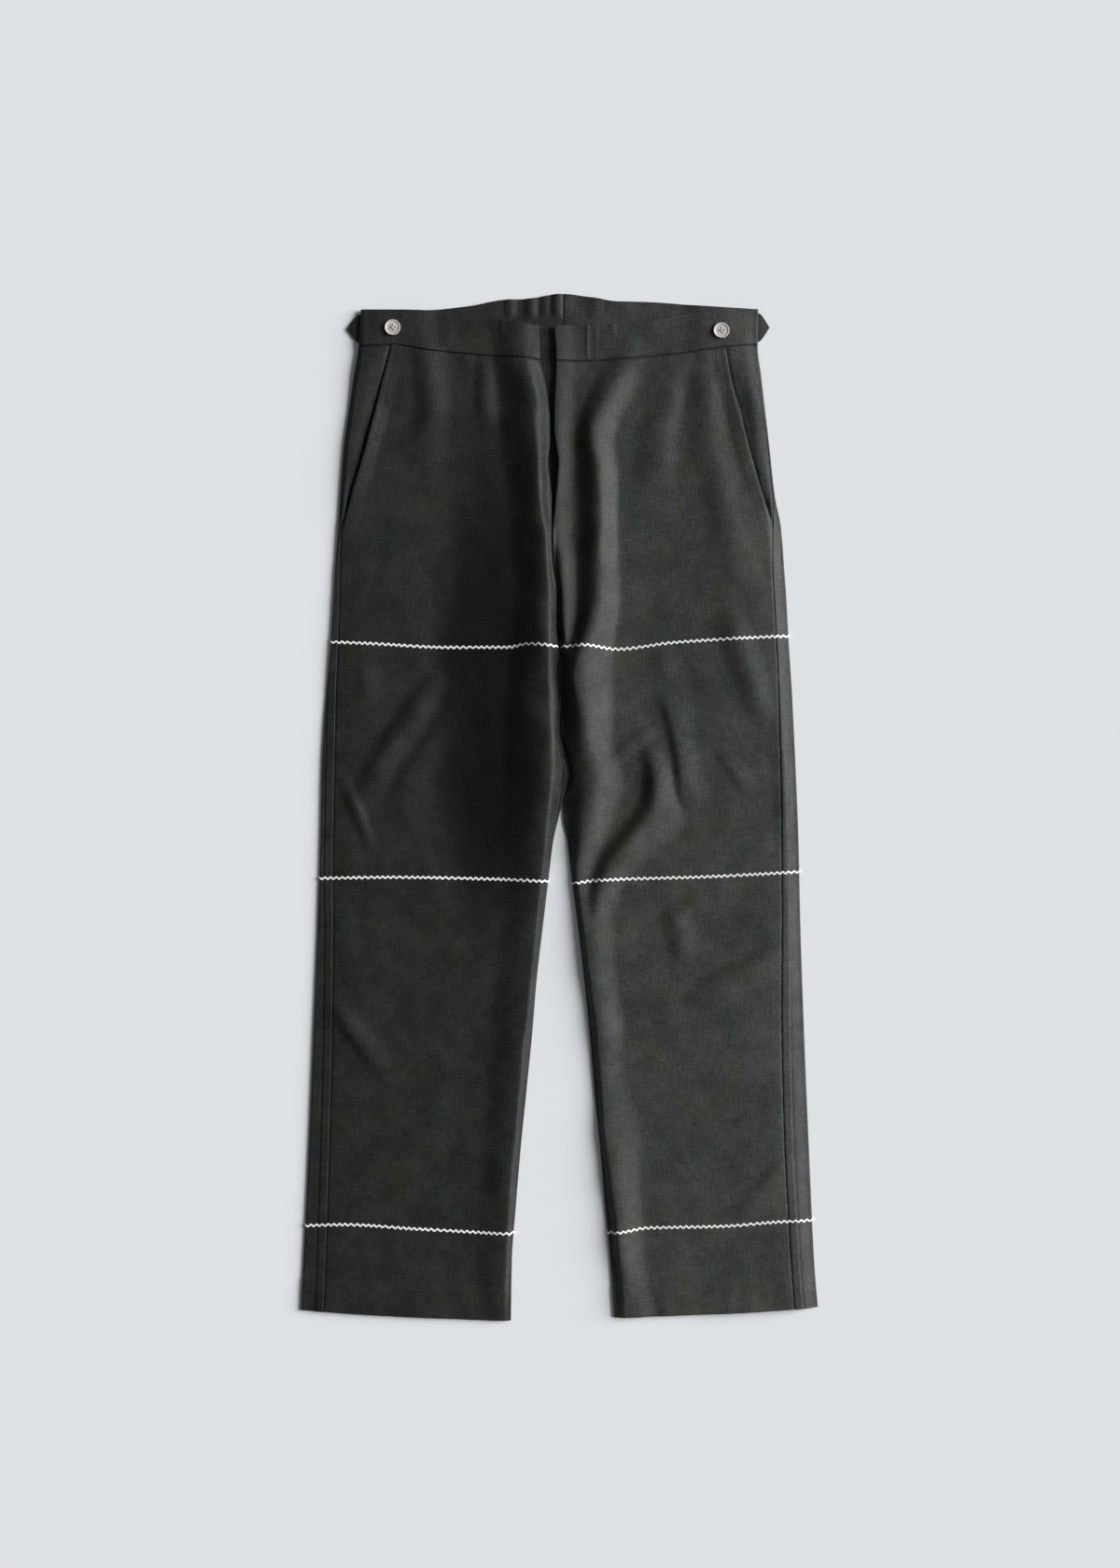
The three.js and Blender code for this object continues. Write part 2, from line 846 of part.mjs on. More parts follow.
const bandShares = [0, 0.08, 0.17, 0.27, 0.38, 0.5, 0.6, 0.69, 0.77, 0.84, 0.9, 0.95, 1];
const bandRows = [0, 0.34, 0.67, 1];

// Settles a waistband point between its seam line and its top line.
function settleBand(share, seam, top, place) {
  let point = place(waistSeamLevel);
  for (let turn = 0; turn < 3; turn += 1) {
    point = place(mix(top(point.x), seam(point.x) + seamGap / 2, share));
  }
  return point;
}

function frontWaistband(leg) {
  const top = (x, y) => topHeight(leg, x, y) + (bandWall - clothWall);
  const rows = bandRows.map((share) => {
    const round = [seamGap / 2, quarterFold / 2].map((distance) =>
      settleBand(share, frontSeam, frontTop, (y) =>
        foldPoint(leg.outer(y), leg.inward, distance, 1, y, top, top),
      ),
    );
    const across = bandShares.map((along) =>
      settleBand(share, frontSeam, frontTop, (y) => {
        const from = leg.outer(y) + leg.inward * foldRadius;
        const x = mix(from, leg.inner(y), along);
        return new THREE.Vector3(x, y, top(x, y));
      }),
    );
    return [...round, ...across];
  });
  const name = `${leg.name}_front_waistband`;
  return named(name, wallGeometry(rows, leg.inward, bandWall), clothMaterial());
}

// The back waistband's bottom, with small ridges where its inside shows
function backBandHeight(x, y) {
  const shown = smooth((y - backBandFoldStart) / backBandFoldFade);
  const folded = backBandFolds.reduce(
    (sum, fold) => sum + fold.height * ridge(x - fold.x, fold.width, fold.width),
    0,
  );
  return lift(x, y) + folded * shown;
}

// Places of a back waistband's points, close together where the ridges are
const backBandShares = [
  0, 0.14, 0.26, 0.36, 0.72, 0.745, 0.77, 0.8, 0.83, 0.86, 0.885, 0.91, 0.935, 0.96, 0.98, 1,
];
const backBandRows = [0, 0.25, 0.5, 0.75, 1];

function backWaistband(leg) {
  const rows = backBandRows.map((share) => {
    const round = [-seamGap / 2, -quarterFold / 2].map((distance) =>
      settleBand(share, backSeam, backTop, (y) =>
        foldPoint(leg.outer(y), leg.inward, distance, 1, y, backBandHeight, backBandHeight),
      ),
    );
    const across = backBandShares.map((along) =>
      settleBand(share, backSeam, backTop, (y) => {
        const from = leg.outer(y) + leg.inward * foldRadius;
        const to = centreBackTop - (leg.inward * seamGap) / 2;
        const x = mix(from, to, along);
        return new THREE.Vector3(x, y, backBandHeight(x, y));
      }),
    );
    return [...round, ...across];
  });
  const name = `${leg.name}_back_waistband`;
  return named(name, wallGeometry(rows, -leg.inward, bandWall), clothMaterial());
}

// The strip behind the fly, from the waistband's top to just below the fly's end
function flyShield() {
  const outline = new THREE.Shape();
  const topY = frontTop(shieldRightX) - shieldTopDrop;
  const cornerX = shieldLeftX - shieldCorner;
  outline.moveTo(shieldRightX, topY);
  outline.lineTo(shieldRightX, flyEndLevel);
  outline.lineTo(cornerX, flyEndLevel);
  outline.absarc(cornerX, flyEndLevel + shieldCorner, shieldCorner, -Math.PI / 2, 0, false);
  outline.lineTo(shieldLeftX, topY);
  const geometry = new THREE.ExtrudeGeometry(outline, {
    depth: shieldWall,
    bevelEnabled: false,
    curveSegments: 6,
  });
  geometry.translate(0, 0, shieldBottom);
  return named("fly_shield", geometry, clothMaterial());
}

// A tab's outline, pointing past the side fold, from its own sizes
function tab(leg, tip) {
  const outline = new THREE.Shape();
  const away = -leg.inward;
  const shoulderX = tip.x - away * tip.point;
  const cornerX = mix(shoulderX, tip.x, tabCornerShare);
  const top = tip.y + tip.width / 2;
  const bottom = tip.y - tip.width / 2;
  outline.moveTo(away * tabBaseX, bottom);
  outline.lineTo(shoulderX - away * tip.ease, bottom);
  outline.quadraticCurveTo(shoulderX, bottom, cornerX, mix(bottom, tip.y, tabSlantShare));
  outline.quadraticCurveTo(tip.x, tip.y - tabBluntness, tip.x, tip.y);
  outline.quadraticCurveTo(tip.x, tip.y + tabBluntness, cornerX, mix(top, tip.y, tabSlantShare));
  outline.quadraticCurveTo(shoulderX, top, shoulderX - away * tip.ease, top);
  outline.lineTo(away * tabBaseX, top);
  const geometry = new THREE.ExtrudeGeometry(outline, {
    depth: tabThick,
    bevelEnabled: false,
    curveSegments: 4,
  });
  return named(`${leg.name}_tab`, geometry, clothMaterial());
}

const wasm = await Module();
wasm.setup();

function solidFrom(geometry) {
  const bare = geometry.clone();
  bare.deleteAttribute("normal");
  bare.deleteAttribute("uv");
  const merged = mergeVertices(bare, 1e-4);
  return new wasm.Manifold(
    new wasm.Mesh({
      numProp: 3,
      vertProperties: merged.attributes.position.array,
      triVerts: new Uint32Array(merged.index.array),
    }),
  );
}

function geometryFrom(solid) {
  const mesh = solid.getMesh();
  return new THREE.BufferGeometry()
    .setAttribute("position", new THREE.BufferAttribute(mesh.vertProperties, 3))
    .setIndex(new THREE.BufferAttribute(mesh.triVerts, 1));
}

// A dished four-hole button, lying 0.3 mm above the waistband under it
function button(leg, place) {
  const face = buttonThick - buttonDish;
  const rimInside = buttonRadius - buttonRim;
  const profile = [
    [0, 0],
    [buttonRadius - buttonFoot, 0],
    [buttonRadius, buttonFootRise],
    [buttonRadius, buttonThick - buttonShoulder],
    [buttonRadius - buttonShoulder, buttonThick],
    [rimInside, buttonThick],
    [rimInside - buttonDishSlope, face],
    [0, face],
  ].map(([radius, height]) => new THREE.Vector2(radius, height));
  const disc = new THREE.LatheGeometry(profile, buttonSides).rotateX(Math.PI / 2);
  let solid = solidFrom(disc);
  for (let hole = 0; hole < 4; hole += 1) {
    const angle = (hole * Math.PI) / 2 + buttonHoleTurn;
    const drill = new THREE.CylinderGeometry(
      buttonHoleRadius,
      buttonHoleRadius,
      3 * buttonThick,
      buttonHoleSides,
    );
    drill.rotateX(Math.PI / 2);
    drill.translate(buttonHoleRing * Math.cos(angle), buttonHoleRing * Math.sin(angle), 0);
    solid = solid.subtract(solidFrom(drill));
  }
  const mesh = named(`${leg.name}_button`, geometryFrom(solid), buttonMaterial());
  const band = (x, y) => topHeight(leg, x, y) + (bandWall - clothWall);
  const reach = [-buttonRadius, 0, buttonRadius];
  const seat = Math.max(...reach.flatMap((dx) => reach.map((dy) => band(place.x + dx, place.y + dy))));
  mesh.position.set(place.x, place.y, seat + seamGap);
  return mesh;
}

// A braid follows the panels' own points along one line round a leg, moved out.
function braid(leg, name) {
  const { level } = braidLines[name];
  const upper = level + braidRowReach;
  const lower = level - braidRowReach;
  const wrapCount = wrapDistances(0).length;
  const joined = (at) => {
    const under = backRow(leg, at);
    const over = frontRow(leg, at);
    const outerSide = under.slice(0, wrapCount - 1);
    if (name === "thigh") return [...outerSide.reverse(), ...over.slice(0, -2)];
    const innerSide = under.slice(-wrapCount + 1);
    return [...outerSide.reverse(), ...over, ...innerSide.reverse()];
  };
  const whole = joined(upper);
  const clear = (_, i) => whole[i].z > braidLowest;
  const upperRow = whole.filter(clear);
  const lowerRow = joined(lower).filter(clear);
  const lineAt = (offset) =>
    upperRow.map((point, i) => point.clone().lerp(lowerRow[i], 0.5 - offset / (upper - lower)));
  const raised = (points, height) => innerFace(points, -height * leg.inward);
  const edges = [braidWidth / 2, -braidWidth / 2].map((offset) => lineAt(offset));
  const crossings = edges[0].map((_, i) => {
    const [a, b] = edges;
    return [
      raised(a, seamGap)[i],
      raised(a, seamGap + braidThick)[i],
      raised(b, seamGap + braidThick)[i],
      raised(b, seamGap)[i],
    ];
  });
  return named(`braid_${name}_${leg.name}`, tubeGeometry(crossings, leg.inward), braidMaterial());
}

// A closed bar through cross-sections of the same number of points
function tubeGeometry(crossings, turn) {
  const around = crossings[0].length;
  const positions = crossings.flat().flatMap((point) => point.toArray());
  const index = [];
  for (let step = 0; step + 1 < crossings.length; step += 1) {
    for (let i = 0; i < around; i += 1) {
      const a = step * around + i;
      const b = step * around + ((i + 1) % around);
      index.push(a, b, b + around, a, b + around, a + around);
    }
  }
  const last = (crossings.length - 1) * around;
  for (let i = 1; i + 1 < around; i += 1) {
    index.push(0, i + 1, i, last, last + i, last + i + 1);
  }
  if (turn < 0) index.reverse();
  return new THREE.BufferGeometry()
    .setAttribute("position", new THREE.Float32BufferAttribute(positions, 3))
    .setIndex(index);
}

const trousers = new THREE.Group();
[right, left].forEach((leg) => {
  trousers.add(front(leg), back(leg), pocketFacing(leg), frontWaistband(leg), backWaistband(leg));
  Object.keys(braidLines).forEach((name) => trousers.add(braid(leg, name)));
});
trousers.add(flyShield());
trousers.add(tab(right, rightTab), tab(left, leftTab));
trousers.add(button(right, rightButtonPlace), button(left, leftButtonPlace));

export default trousers;
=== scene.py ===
import math
from types import SimpleNamespace

import bmesh
import bpy
import numpy as np
from mathutils import Matrix, Vector, noise


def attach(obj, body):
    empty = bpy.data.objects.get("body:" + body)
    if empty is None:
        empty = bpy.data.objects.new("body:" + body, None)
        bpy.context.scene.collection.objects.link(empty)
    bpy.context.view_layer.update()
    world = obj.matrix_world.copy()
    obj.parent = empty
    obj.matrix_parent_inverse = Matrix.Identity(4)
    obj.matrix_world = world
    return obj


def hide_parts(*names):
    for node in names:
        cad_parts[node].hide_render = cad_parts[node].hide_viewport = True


# Tapered trousers laid flat, front up. Tables and dictionaries are in millimetres, and meshes are
# in metres. +X is the wearer's left, +Y the waist, and right and left are the wearer's.
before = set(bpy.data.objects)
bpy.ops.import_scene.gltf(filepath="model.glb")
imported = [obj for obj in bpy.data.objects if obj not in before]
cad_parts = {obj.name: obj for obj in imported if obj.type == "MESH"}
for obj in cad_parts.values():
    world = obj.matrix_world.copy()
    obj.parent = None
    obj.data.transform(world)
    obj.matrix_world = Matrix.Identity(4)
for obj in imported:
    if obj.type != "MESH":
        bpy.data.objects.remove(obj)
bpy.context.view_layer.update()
mm = 0.001
mergeReach = 1e-6
print("frame loaded:", len(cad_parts), "nodes")


def smooth(value):
    value = np.clip(value, 0, 1)
    return value * value * (3 - 2 * value)


# 0 up to the start, and 1 from a width further on
def rise(value, start, width):
    return smooth((value - start) / width)


def mix(a, b, share):
    return a + (b - a) * share


# rows of numbers as named columns
def table(columns, rows):
    return dict(zip(columns, np.array(rows, float).T))


# a smooth function from one column to another, level past its ends
def along(rows, start, target):
    order = np.argsort(rows[start])
    at, value = rows[start][order], rows[target][order]
    slope = np.diff(value) / np.diff(at)
    product = slope[:-1] * slope[1:]
    total = np.where(product > 0, slope[:-1] + slope[1:], 1)
    inside = np.where(product > 0, 2 * product / total, 0)
    tangent = np.concatenate([slope[:1], inside, slope[-1:]])

    def read(wanted):
        wanted = np.clip(wanted, at[0], at[-1])
        i = np.clip(np.searchsorted(at, wanted, side="right") - 1, 0, len(at) - 2)
        span = at[i + 1] - at[i]
        u = (wanted - at[i]) / span
        straight = mix(value[i], value[i + 1], u * u * (3 - 2 * u))
        return straight + span * u * (1 - u) * ((1 - u) * tangent[i] - u * tangent[i + 1])

    return read


# where in the noise each unevenness is read
seeds = {
    "wander": 12.5, "strength": 8.8, "broad": 3.7, "small": 9.2, "hollow": 5.5, "hem": 1.4,
    "waist": 6.1, "outseam": 4.4, "pitchRight": 2.2, "pitchLeft": -2.2, "swing": 7.9,
}


# soft uneven waves from -1 to 1, each as long in x and y as its size says
def unevenness(x, y, size, seed):
    x, y = np.broadcast_arrays(np.asarray(x, float), np.asarray(y, float))
    flat = zip((x / size[0]).ravel(), (y / size[1]).ravel())
    return np.array([noise.noise((a, b, seeds[seed])) for a, b in flat]).reshape(x.shape)


# how the garment is cut and how it lies
cut = {
    "wall": 1.0,
    "bandWall": 1.7,
    "seamGap": 0.3,
    "foldRadius": 1.3,
    "crown": 1.7,
    "crownWidth": 34,
    "bankWidth": {"Right": 5, "Left": 15},
    "bankFall": {"Right": 26, "Left": 142},
    "edgeFade": 12,
    "innerFade": 5,
    "waistSeam": 465.5,
    "pocketEnd": 283,
    "flyEnd": 250,
    "bendStart": 195,
    "leastBend": 0.001,
    "crotch": 168,
    "legSplit": 200,
    "legSplitEase": 50,
    "centreBackTop": 3.3,
    "centreBackCrotch": 0.8,
    "backInnerEase": 20,
    "hemDepth": 33,
    "tabRoom": 1.9,
    "tabRoomFrom": 120,
    "tabRoomEase": 26,
    "tabRoomFoot": 400,
    "tabRoomFootEase": 52,
}
quarterFold = cut["foldRadius"] * math.pi / 2

# side folds, and how far inside them the outseam lies on top
sides = table(
    ["level", "rightEdge", "leftEdge", "rightInset", "leftInset"],
    [
        [503, -200.6, 200.6, 0, 0], [465, -202.9, 200.2, 0, 0], [435, -207.8, 203.8, 0, 0],
        [400, -213, 208, 0, 0], [363, -218, 212.3, 0, 1.2], [315, -221.6, 217.6, 0, 2.2],
        [283, -223.6, 223.8, 2.8, 8.4], [240, -226.9, 227.2, 4.4, 12.5],
        [212, -228.4, 229.2, 5.6, 13], [165, -231.4, 231.8, 7.2, 13.1],
        [118, -235.4, 234.9, 9.4, 14], [42, -240, 238.6, 12.4, 15.7],
        [-33, -241.6, 241.6, 12.5, 17.3], [-118, -244.2, 243.5, 15.2, 19],
        [-231, -248.6, 247.4, 18.6, 22.9], [-345, -253.2, 252.2, 20.4, 24.8],
        [-458, -258.6, 257.4, 22.2, 23.7], [-515, -261.6, 262, 23, 24.2],
    ],
)

# centre front above the crotch, and the legs' inner folds below it
inners = table(
    ["level", "rightEdge", "leftEdge", "rightInset"],
    [
        [503, -21.5, -7.2, 0], [452, -19.4, -3.8, 0], [434, -15.5, -4.1, 0], [406, -10.6, -5.5, 0],
        [384, -9.4, -5.8, 0], [365, -9.6, -3.7, 0], [349, -11.4, -1.7, 0], [329, -9.3, -2.8, 0],
        [309, -7.8, -4.6, 0], [274, -7.9, -7.5, 0], [250, -7.1, -6.7, 0], [216, -2.5, -2.1, 0],
        [190, -2.2, -1.8, 0], [165, 0.5, 1.1, 0], [137, -3, -2.4, 0], [110, 0.8, 1.4, 0],
        [77, -0.3, 0.3, 0], [57, 4.2, 4.8, 2.4], [35, 9, 9.6, 5], [20, 6.5, 7.1, 6.6],
        [5, 2.8, 3.4, 5.6], [-10, -0.7, 3.8, 4], [-33, -6.1, 8, 2.2], [-71, -10.9, 12.3, 0],
        [-118, -16.5, 18.4, 0], [-175, -23.1, 25, 0], [-231, -27.8, 30.7, 0],
        [-288, -33.5, 35.4, 0], [-345, -39.2, 41.1, 0], [-401, -43.9, 45.8, 0],
        [-458, -48.1, 51.4, 0], [-520, -49.1, 55.9, 0],
    ],
)
mouths = table(
    ["level", "right", "left"],
    [
        [467, -170.3, 166.9], [447, -174.6, 170], [426, -180.2, 174.3], [401, -186.2, 181],
        [379, -192, 186.9], [359, -197.1, 192], [342, -202.1, 196.7], [320, -208.9, 203.1],
        [301, -213.9, 209.4], [283, -219.5, 215],
    ],
)


# how much fuller each leg lies near its outer fold
banks = table(
    ["level", "right", "left"],
    [
        [500, 0.5, 0.8], [440, 2.2, 2.2], [380, 3, 3.6], [320, 2.6, 6.2], [283, 1.2, 7.4],
        [250, 0, 7], [150, 0, 6.6], [60, 0, 4.6], [-50, 0, 3.6], [-300, 0, 3], [-515, 0, 3.4],
    ],
)


# lines that run across the garment, as x and y
def crossLine(rows):
    return along(table(["x", "y"], rows), "x", "y")


frontTop = crossLine([
    [-200, 502.7], [-137, 501.8], [-121, 499.4], [-97, 496.5], [-45, 490.4], [-21, 487.4],
    [-7, 486.5], [53, 487.9], [85, 490.5], [114, 495.5], [146, 499.8], [171, 503.1], [200, 503.1],
])
frontSeam = crossLine([
    [-202, 465.4], [-169, 467.3], [-134, 462.1], [-97, 458.5], [-61, 455.5], [-19, 451.9],
    [-5, 450.8], [31, 451.1], [80, 454.4], [119, 458], [163, 464], [199, 467.3],
])
backTop = crossLine([
    [-200, 502.7], [-138, 502.4], [-91, 506.7], [-54, 513.1], [-37, 513.5], [3, 518.6],
    [35, 515.2], [57, 511.6], [90, 510.7], [141, 506.9], [200, 503.1],
])
backSeam = crossLine([
    [-202, 465.4], [-120, 468.6], [-50, 477.4], [3, 483.2], [50, 477], [120, 473.4], [199, 467.3],
])
hemLine = crossLine([
    [-261, -507.9], [-196, -512.6], [-117, -516.4], [-49, -518.6], [56, -515.6], [137, -512.6],
    [207, -508.8], [261, -504.6],
])
braidLines = {
    "thigh": crossLine([
        [-231, 167.1], [-188, 165.2], [-113, 161.4], [-52, 161.4], [-33, 164.3], [0, 162],
        [24, 163.3], [57, 159.6], [114, 166.1], [230, 172.8],
    ]),
    "knee": crossLine([
        [-241, -71.7], [-169, -70.6], [-56, -72.7], [-11, -74.6], [12, -76.5], [38, -73.6],
        [151, -69.9], [241, -65.1],
    ]),
    "hem": crossLine([
        [-256, -422.5], [-217, -421.2], [-143, -425.6], [-46, -429.9], [49, -429.3], [91, -424.4],
        [163, -422.6], [231, -417.4], [256, -416.9],
    ]),
}

# inward is the direction from a leg's outer fold to its inner one
def makeLeg(name, inward):
    side = name.lower()
    return SimpleNamespace(
        name=name,
        inward=inward,
        outer=along(sides, "level", side + "Edge"),
        outseam=along(sides, "level", side + "Inset"),
        inner=along(inners, "level", side + "Edge"),
        inseam=along(inners, "level", "rightInset"),
        mouth=along(mouths, "level", side),
        bank=along(banks, "level", side),
    )


right, left = makeLeg("Right", 1), makeLeg("Left", -1)
left.inseam = lambda y: 0 * y  # on the fold all the way down
legs = [right, left]

# folds and creases along their crests: height, and reach on the -X and the +X side
foldColumns = ["x", "y", "height", "minus", "plus"]
folds = {
    "rightOfFly": [
        [-38, 503, 4, 34, 22], [-38, 470, 5, 34, 24], [-35, 446, 9, 34, 25],
        [-26, 424, 12.5, 36, 17], [-21, 403, 14.5, 36, 15], [-27, 388, 15.8, 36, 24],
        [-24, 351, 15.8, 36, 18], [-20, 330, 15.8, 36, 16], [-17.5, 299, 15.5, 36, 13],
        [-14, 268, 15.5, 36, 11], [-10.5, 226, 14, 36, 10], [-12.5, 165, 14, 38, 13],
        [-13, 108, 12.6, 46, 14], [-9, 50, 10.6, 50, 14], [-8, 20, 9.6, 50, 12],
        [-14, -20, 9, 47, 11], [-20, -70, 7.8, 42, 10], [-24, -118, 6.5, 40, 8],
        [-31, -175, 6, 38, 8], [-36, -231, 5.6, 36, 8], [-47, -345, 5.4, 34, 8],
        [-56, -458, 5, 32, 8], [-57, -520, 2, 28, 8],
    ],
    "rightThigh": [
        [-44, 446, 0, 60, 20], [-30, 410, 3, 85, 20], [-24, 351, 4.5, 95, 18],
        [-20, 310, 4.8, 95, 15], [-14, 268, 4.8, 100, 11], [-10, 200, 4.8, 110, 10],
        [-8, 130, 7, 118, 10], [-6, 80, 8, 118, 10], [-4, 40, 7, 116, 9], [-9, 0, 5, 100, 8],
        [-16, -60, 3, 84, 8], [-24, -118, 2, 70, 8], [-36, -231, 1.5, 60, 8], [-48, -345, 0, 50, 8],
    ],
    "flyPlacket": [
        [-8, 503, 3, 9, 24], [-4.5, 450, 4, 8, 27], [-6, 406, 5.5, 9, 25], [-4, 365, 6, 9, 22],
        [-2.5, 349, 6, 8, 20], [-5, 309, 6.5, 9, 22], [-7, 278, 6, 9, 22], [3, 250, 7.5, 12, 18],
        [3, 208, 8, 12, 17], [4, 172, 9, 11, 14], [6, 144, 0, 9, 12],
    ],
    "leftThigh": [
        [84, 470, 0, 26, 26], [65, 445, 3, 26, 28], [52, 421, 5.5, 22, 28], [41, 402, 8, 19, 25],
        [34, 385, 10.4, 17, 27], [34, 366, 11.2, 18, 25], [39, 346, 11.8, 22, 23],
        [39, 290, 12, 22, 20], [39, 242, 12, 22, 23], [36, 208, 12, 22, 26], [28, 178, 12, 16, 32],
        [17, 150, 12, 14, 41], [14, 128, 12, 16, 43], [21, 99, 12, 24, 40], [27, 61, 11.8, 32, 30],
        [29, 24, 11, 26, 39], [25, -12, 9.4, 20, 31], [18, -48, 7.4, 13, 22], [15, -76, 4, 9, 18],
        [14, -96, 0, 8, 16],
    ],
    "leftWaist": [
        [118, 456, 0, 22, 20], [112, 422, 2, 26, 20], [104, 390, 2.4, 28, 20],
        [99, 350, 2.2, 28, 22], [96, 312, 0, 24, 22],
    ],
    "leftKnee": [
        [86, 62, 0, 10, 16], [92, 42, 4, 14, 22], [97, 26, 7, 16, 26], [97, 0, 8.4, 18, 38],
        [78, -26, 8, 18, 34], [53, -54, 7, 16, 26], [43, -74, 5, 14, 24], [40, -94, 3.6, 12, 22],
        [38, -114, 0, 10, 18],
    ],
    "flyPucker": [[16, 290, 0, 5, 6], [13, 282, -0.9, 5, 6], [10, 273, 0, 5, 6]],
    "leftKneeOuter": [
        [104, 120, 0, 10, 24], [109, 98, 2.2, 10, 32], [114, 72, 2.6, 9, 26], [121, 45, 3.4, 9, 26],
        [125, 14, 3, 10, 28], [134, -14, 0, 10, 26],
    ],
    "leftKneeSlant": [
        [52, 46, 0, 9, 12], [64, 58, 1.9, 9, 14], [80, 71, 2, 9, 14], [97, 82, 0, 9, 14],
    ],
    "leftKneeSide": [
        [158, 64, 0, 12, 16], [172, 46, 1.4, 12, 16], [185, 27, 1.2, 12, 16], [194, 10, 0, 12, 16],
    ],
    "leftAboveKnee": [
        [168, 205, 0, 18, 16], [176, 180, 2.4, 20, 18], [186, 155, 2.8, 22, 18],
        [195, 128, 2.4, 22, 18], [204, 100, 1.6, 20, 16], [210, 78, 0, 16, 14],
    ],
    "leftDentInner": [[102, 168, 0, 14, 20], [106, 146, 1.4, 14, 20], [109, 122, 0, 14, 20]],
    "leftDentOuter": [[139, 152, 0, 14, 20], [142, 134, 1.2, 14, 20], [144, 114, 0, 14, 20]],
    "leftOutseam": [
        [223, 100, 0, 16, 8], [227, 55, 1.6, 18, 8], [229, 0, 1.8, 18, 8], [229, -56, 0, 16, 8],
    ],
    "leftHip": [
        [148, 448, 0, 20, 18], [149, 420, 2.6, 24, 22], [149, 376, 2.8, 28, 24],
        [162, 320, 2.6, 28, 26], [176, 255, 1.8, 24, 24], [186, 208, 0, 22, 22],
    ],
    "leftShin": [
        [111, -92, 0, 16, 20], [118, -114, 2.5, 18, 22], [122, -140, 2.2, 18, 22],
        [124, -168, 0, 16, 20],
    ],
    "leftShinSlant": [
        [152, -86, 0, 10, 14], [132, -98, 1.7, 10, 16], [112, -112, 1.6, 10, 16],
        [96, -124, 0, 10, 14],
    ],
    "leftCalf": [
        [226, -138, 0, 13, 22], [195, -158, 2.5, 14, 26], [160, -176, 2.7, 14, 28],
        [120, -197, 0, 12, 22],
    ],
    "leftInnerCalf": [
        [17, -70, 0, 6, 24], [20, -92, 5, 7, 30], [25, -127, 7, 8, 34], [30, -165, 7, 8, 28],
        [37, -222, 6.6, 8, 30], [41, -278, 4.4, 8, 28], [47, -335, 6.4, 8, 38],
        [53, -392, 6.6, 8, 32], [60, -448, 6, 9, 30], [64, -486, 5.4, 9, 32], [67, -520, 3, 9, 32],
    ],
    "leftAnkle": [
        [238, -350, 0, 13, 20], [212, -376, 2.3, 13, 22], [190, -398, 2, 13, 22],
        [170, -418, 0, 13, 20],
    ],
    "rightKnee": [
        [-116, 136, 0, 18, 22], [-138, 106, 4, 20, 26], [-162, 72, 5, 20, 26],
        [-190, 32, 3.6, 18, 24], [-208, 4, 0, 14, 20],
    ],
    "rightKneeInner": [
        [-96, 122, 0, 15, 26], [-118, 88, 2.6, 16, 28], [-146, 42, 3, 16, 28],
        [-170, -2, 0, 16, 26],
    ],
    "rightKneeOuter": [
        [-221, 32, 0, 9, 9], [-212, 10, 2, 10, 10], [-202, -12, 2.4, 10, 10], [-186, -46, 0, 9, 9],
    ],
    "rightAboveKnee": [[-195, 156, 0, 14, 16], [-195, 126, 1.7, 14, 18], [-197, 94, 0, 14, 16]],
    "rightHip": [
        [-137, 480, 0, 18, 22], [-133, 450, 2.4, 20, 24], [-129, 410, 3, 22, 24],
        [-132, 370, 2, 22, 24], [-135, 330, 0, 20, 22],
    ],
    "rightHipInner": [
        [-78, 456, 0, 12, 14], [-75, 427, 2.2, 14, 16], [-75, 402, 2, 14, 16],
        [-74, 372, 0, 12, 14],
    ],
    "rightCalf": [
        [-230, -194, 0, 12, 18], [-212, -224, 2.3, 12, 22], [-192, -250, 2, 12, 20],
        [-172, -278, 0, 12, 18],
    ],
}
foldPath = {
    "step": 2.0,
    "softness": 6.5,
    "wander": 2.6,
    "wanderSize": (38, 52),
    "change": 0.3,
    "changeSize": (44, 38),
}


# a rounded ridge's height at a distance from its crest
def ridge(distance, minus, plus=None):
    share = np.abs(distance) / np.where(distance < 0, minus, minus if plus is None else plus)
    return 0.5 + 0.5 * np.cos(np.pi * np.minimum(share, 1))


# evens out a row of values, each with its neighbours
def soften(values, width):
    reach = int(3 * width)
    weights = np.exp(-0.5 * (np.arange(-reach, reach + 1) / width) ** 2)
    padded = np.pad(values, reach, mode="edge")
    return np.convolve(padded, weights / weights.sum(), mode="valid")


# the height that a fold adds at x, y
def makeFold(rows):
    rows = np.array(rows, float)
    run = np.concatenate([[0], np.cumsum(np.hypot(*np.diff(rows[:, :2], axis=0).T))])
    at = np.arange(0, run[-1] + foldPath["step"], foldPath["step"])
    width = foldPath["softness"] / foldPath["step"]
    x, y, height, minus, plus = (soften(np.interp(at, run, rows[:, i]), width) for i in range(5))
    alongX, alongY = np.gradient(x), np.gradient(y)
    facing = (1 if y[-1] > y[0] else -1) / np.hypot(alongX, alongY)
    sideX, sideY = alongY * facing, -alongX * facing
    reach = max(minus.max(), plus.max())

    def read(wantedX, wantedY):
        px, py = np.broadcast_arrays(np.atleast_1d(wantedX), np.atleast_1d(wantedY))
        value = np.zeros(px.shape)
        near = (px > x.min() - reach) & (px < x.max() + reach)
        near &= (py > y.min() - reach) & (py < y.max() + reach)
        px, py = px[near], py[near]
        if not len(px):
            return value
        nearest = np.argmin(
            np.square(px[:, None] - x[None]) + np.square(py[:, None] - y[None]), axis=1
        )
        offset = (px - x[nearest]) * sideX[nearest] + (py - y[nearest]) * sideY[nearest]
        value[near] = height[nearest] * ridge(offset, minus[nearest], plus[nearest])
        return value

    return read


foldHeights = [makeFold(rows) for rows in folds.values()]


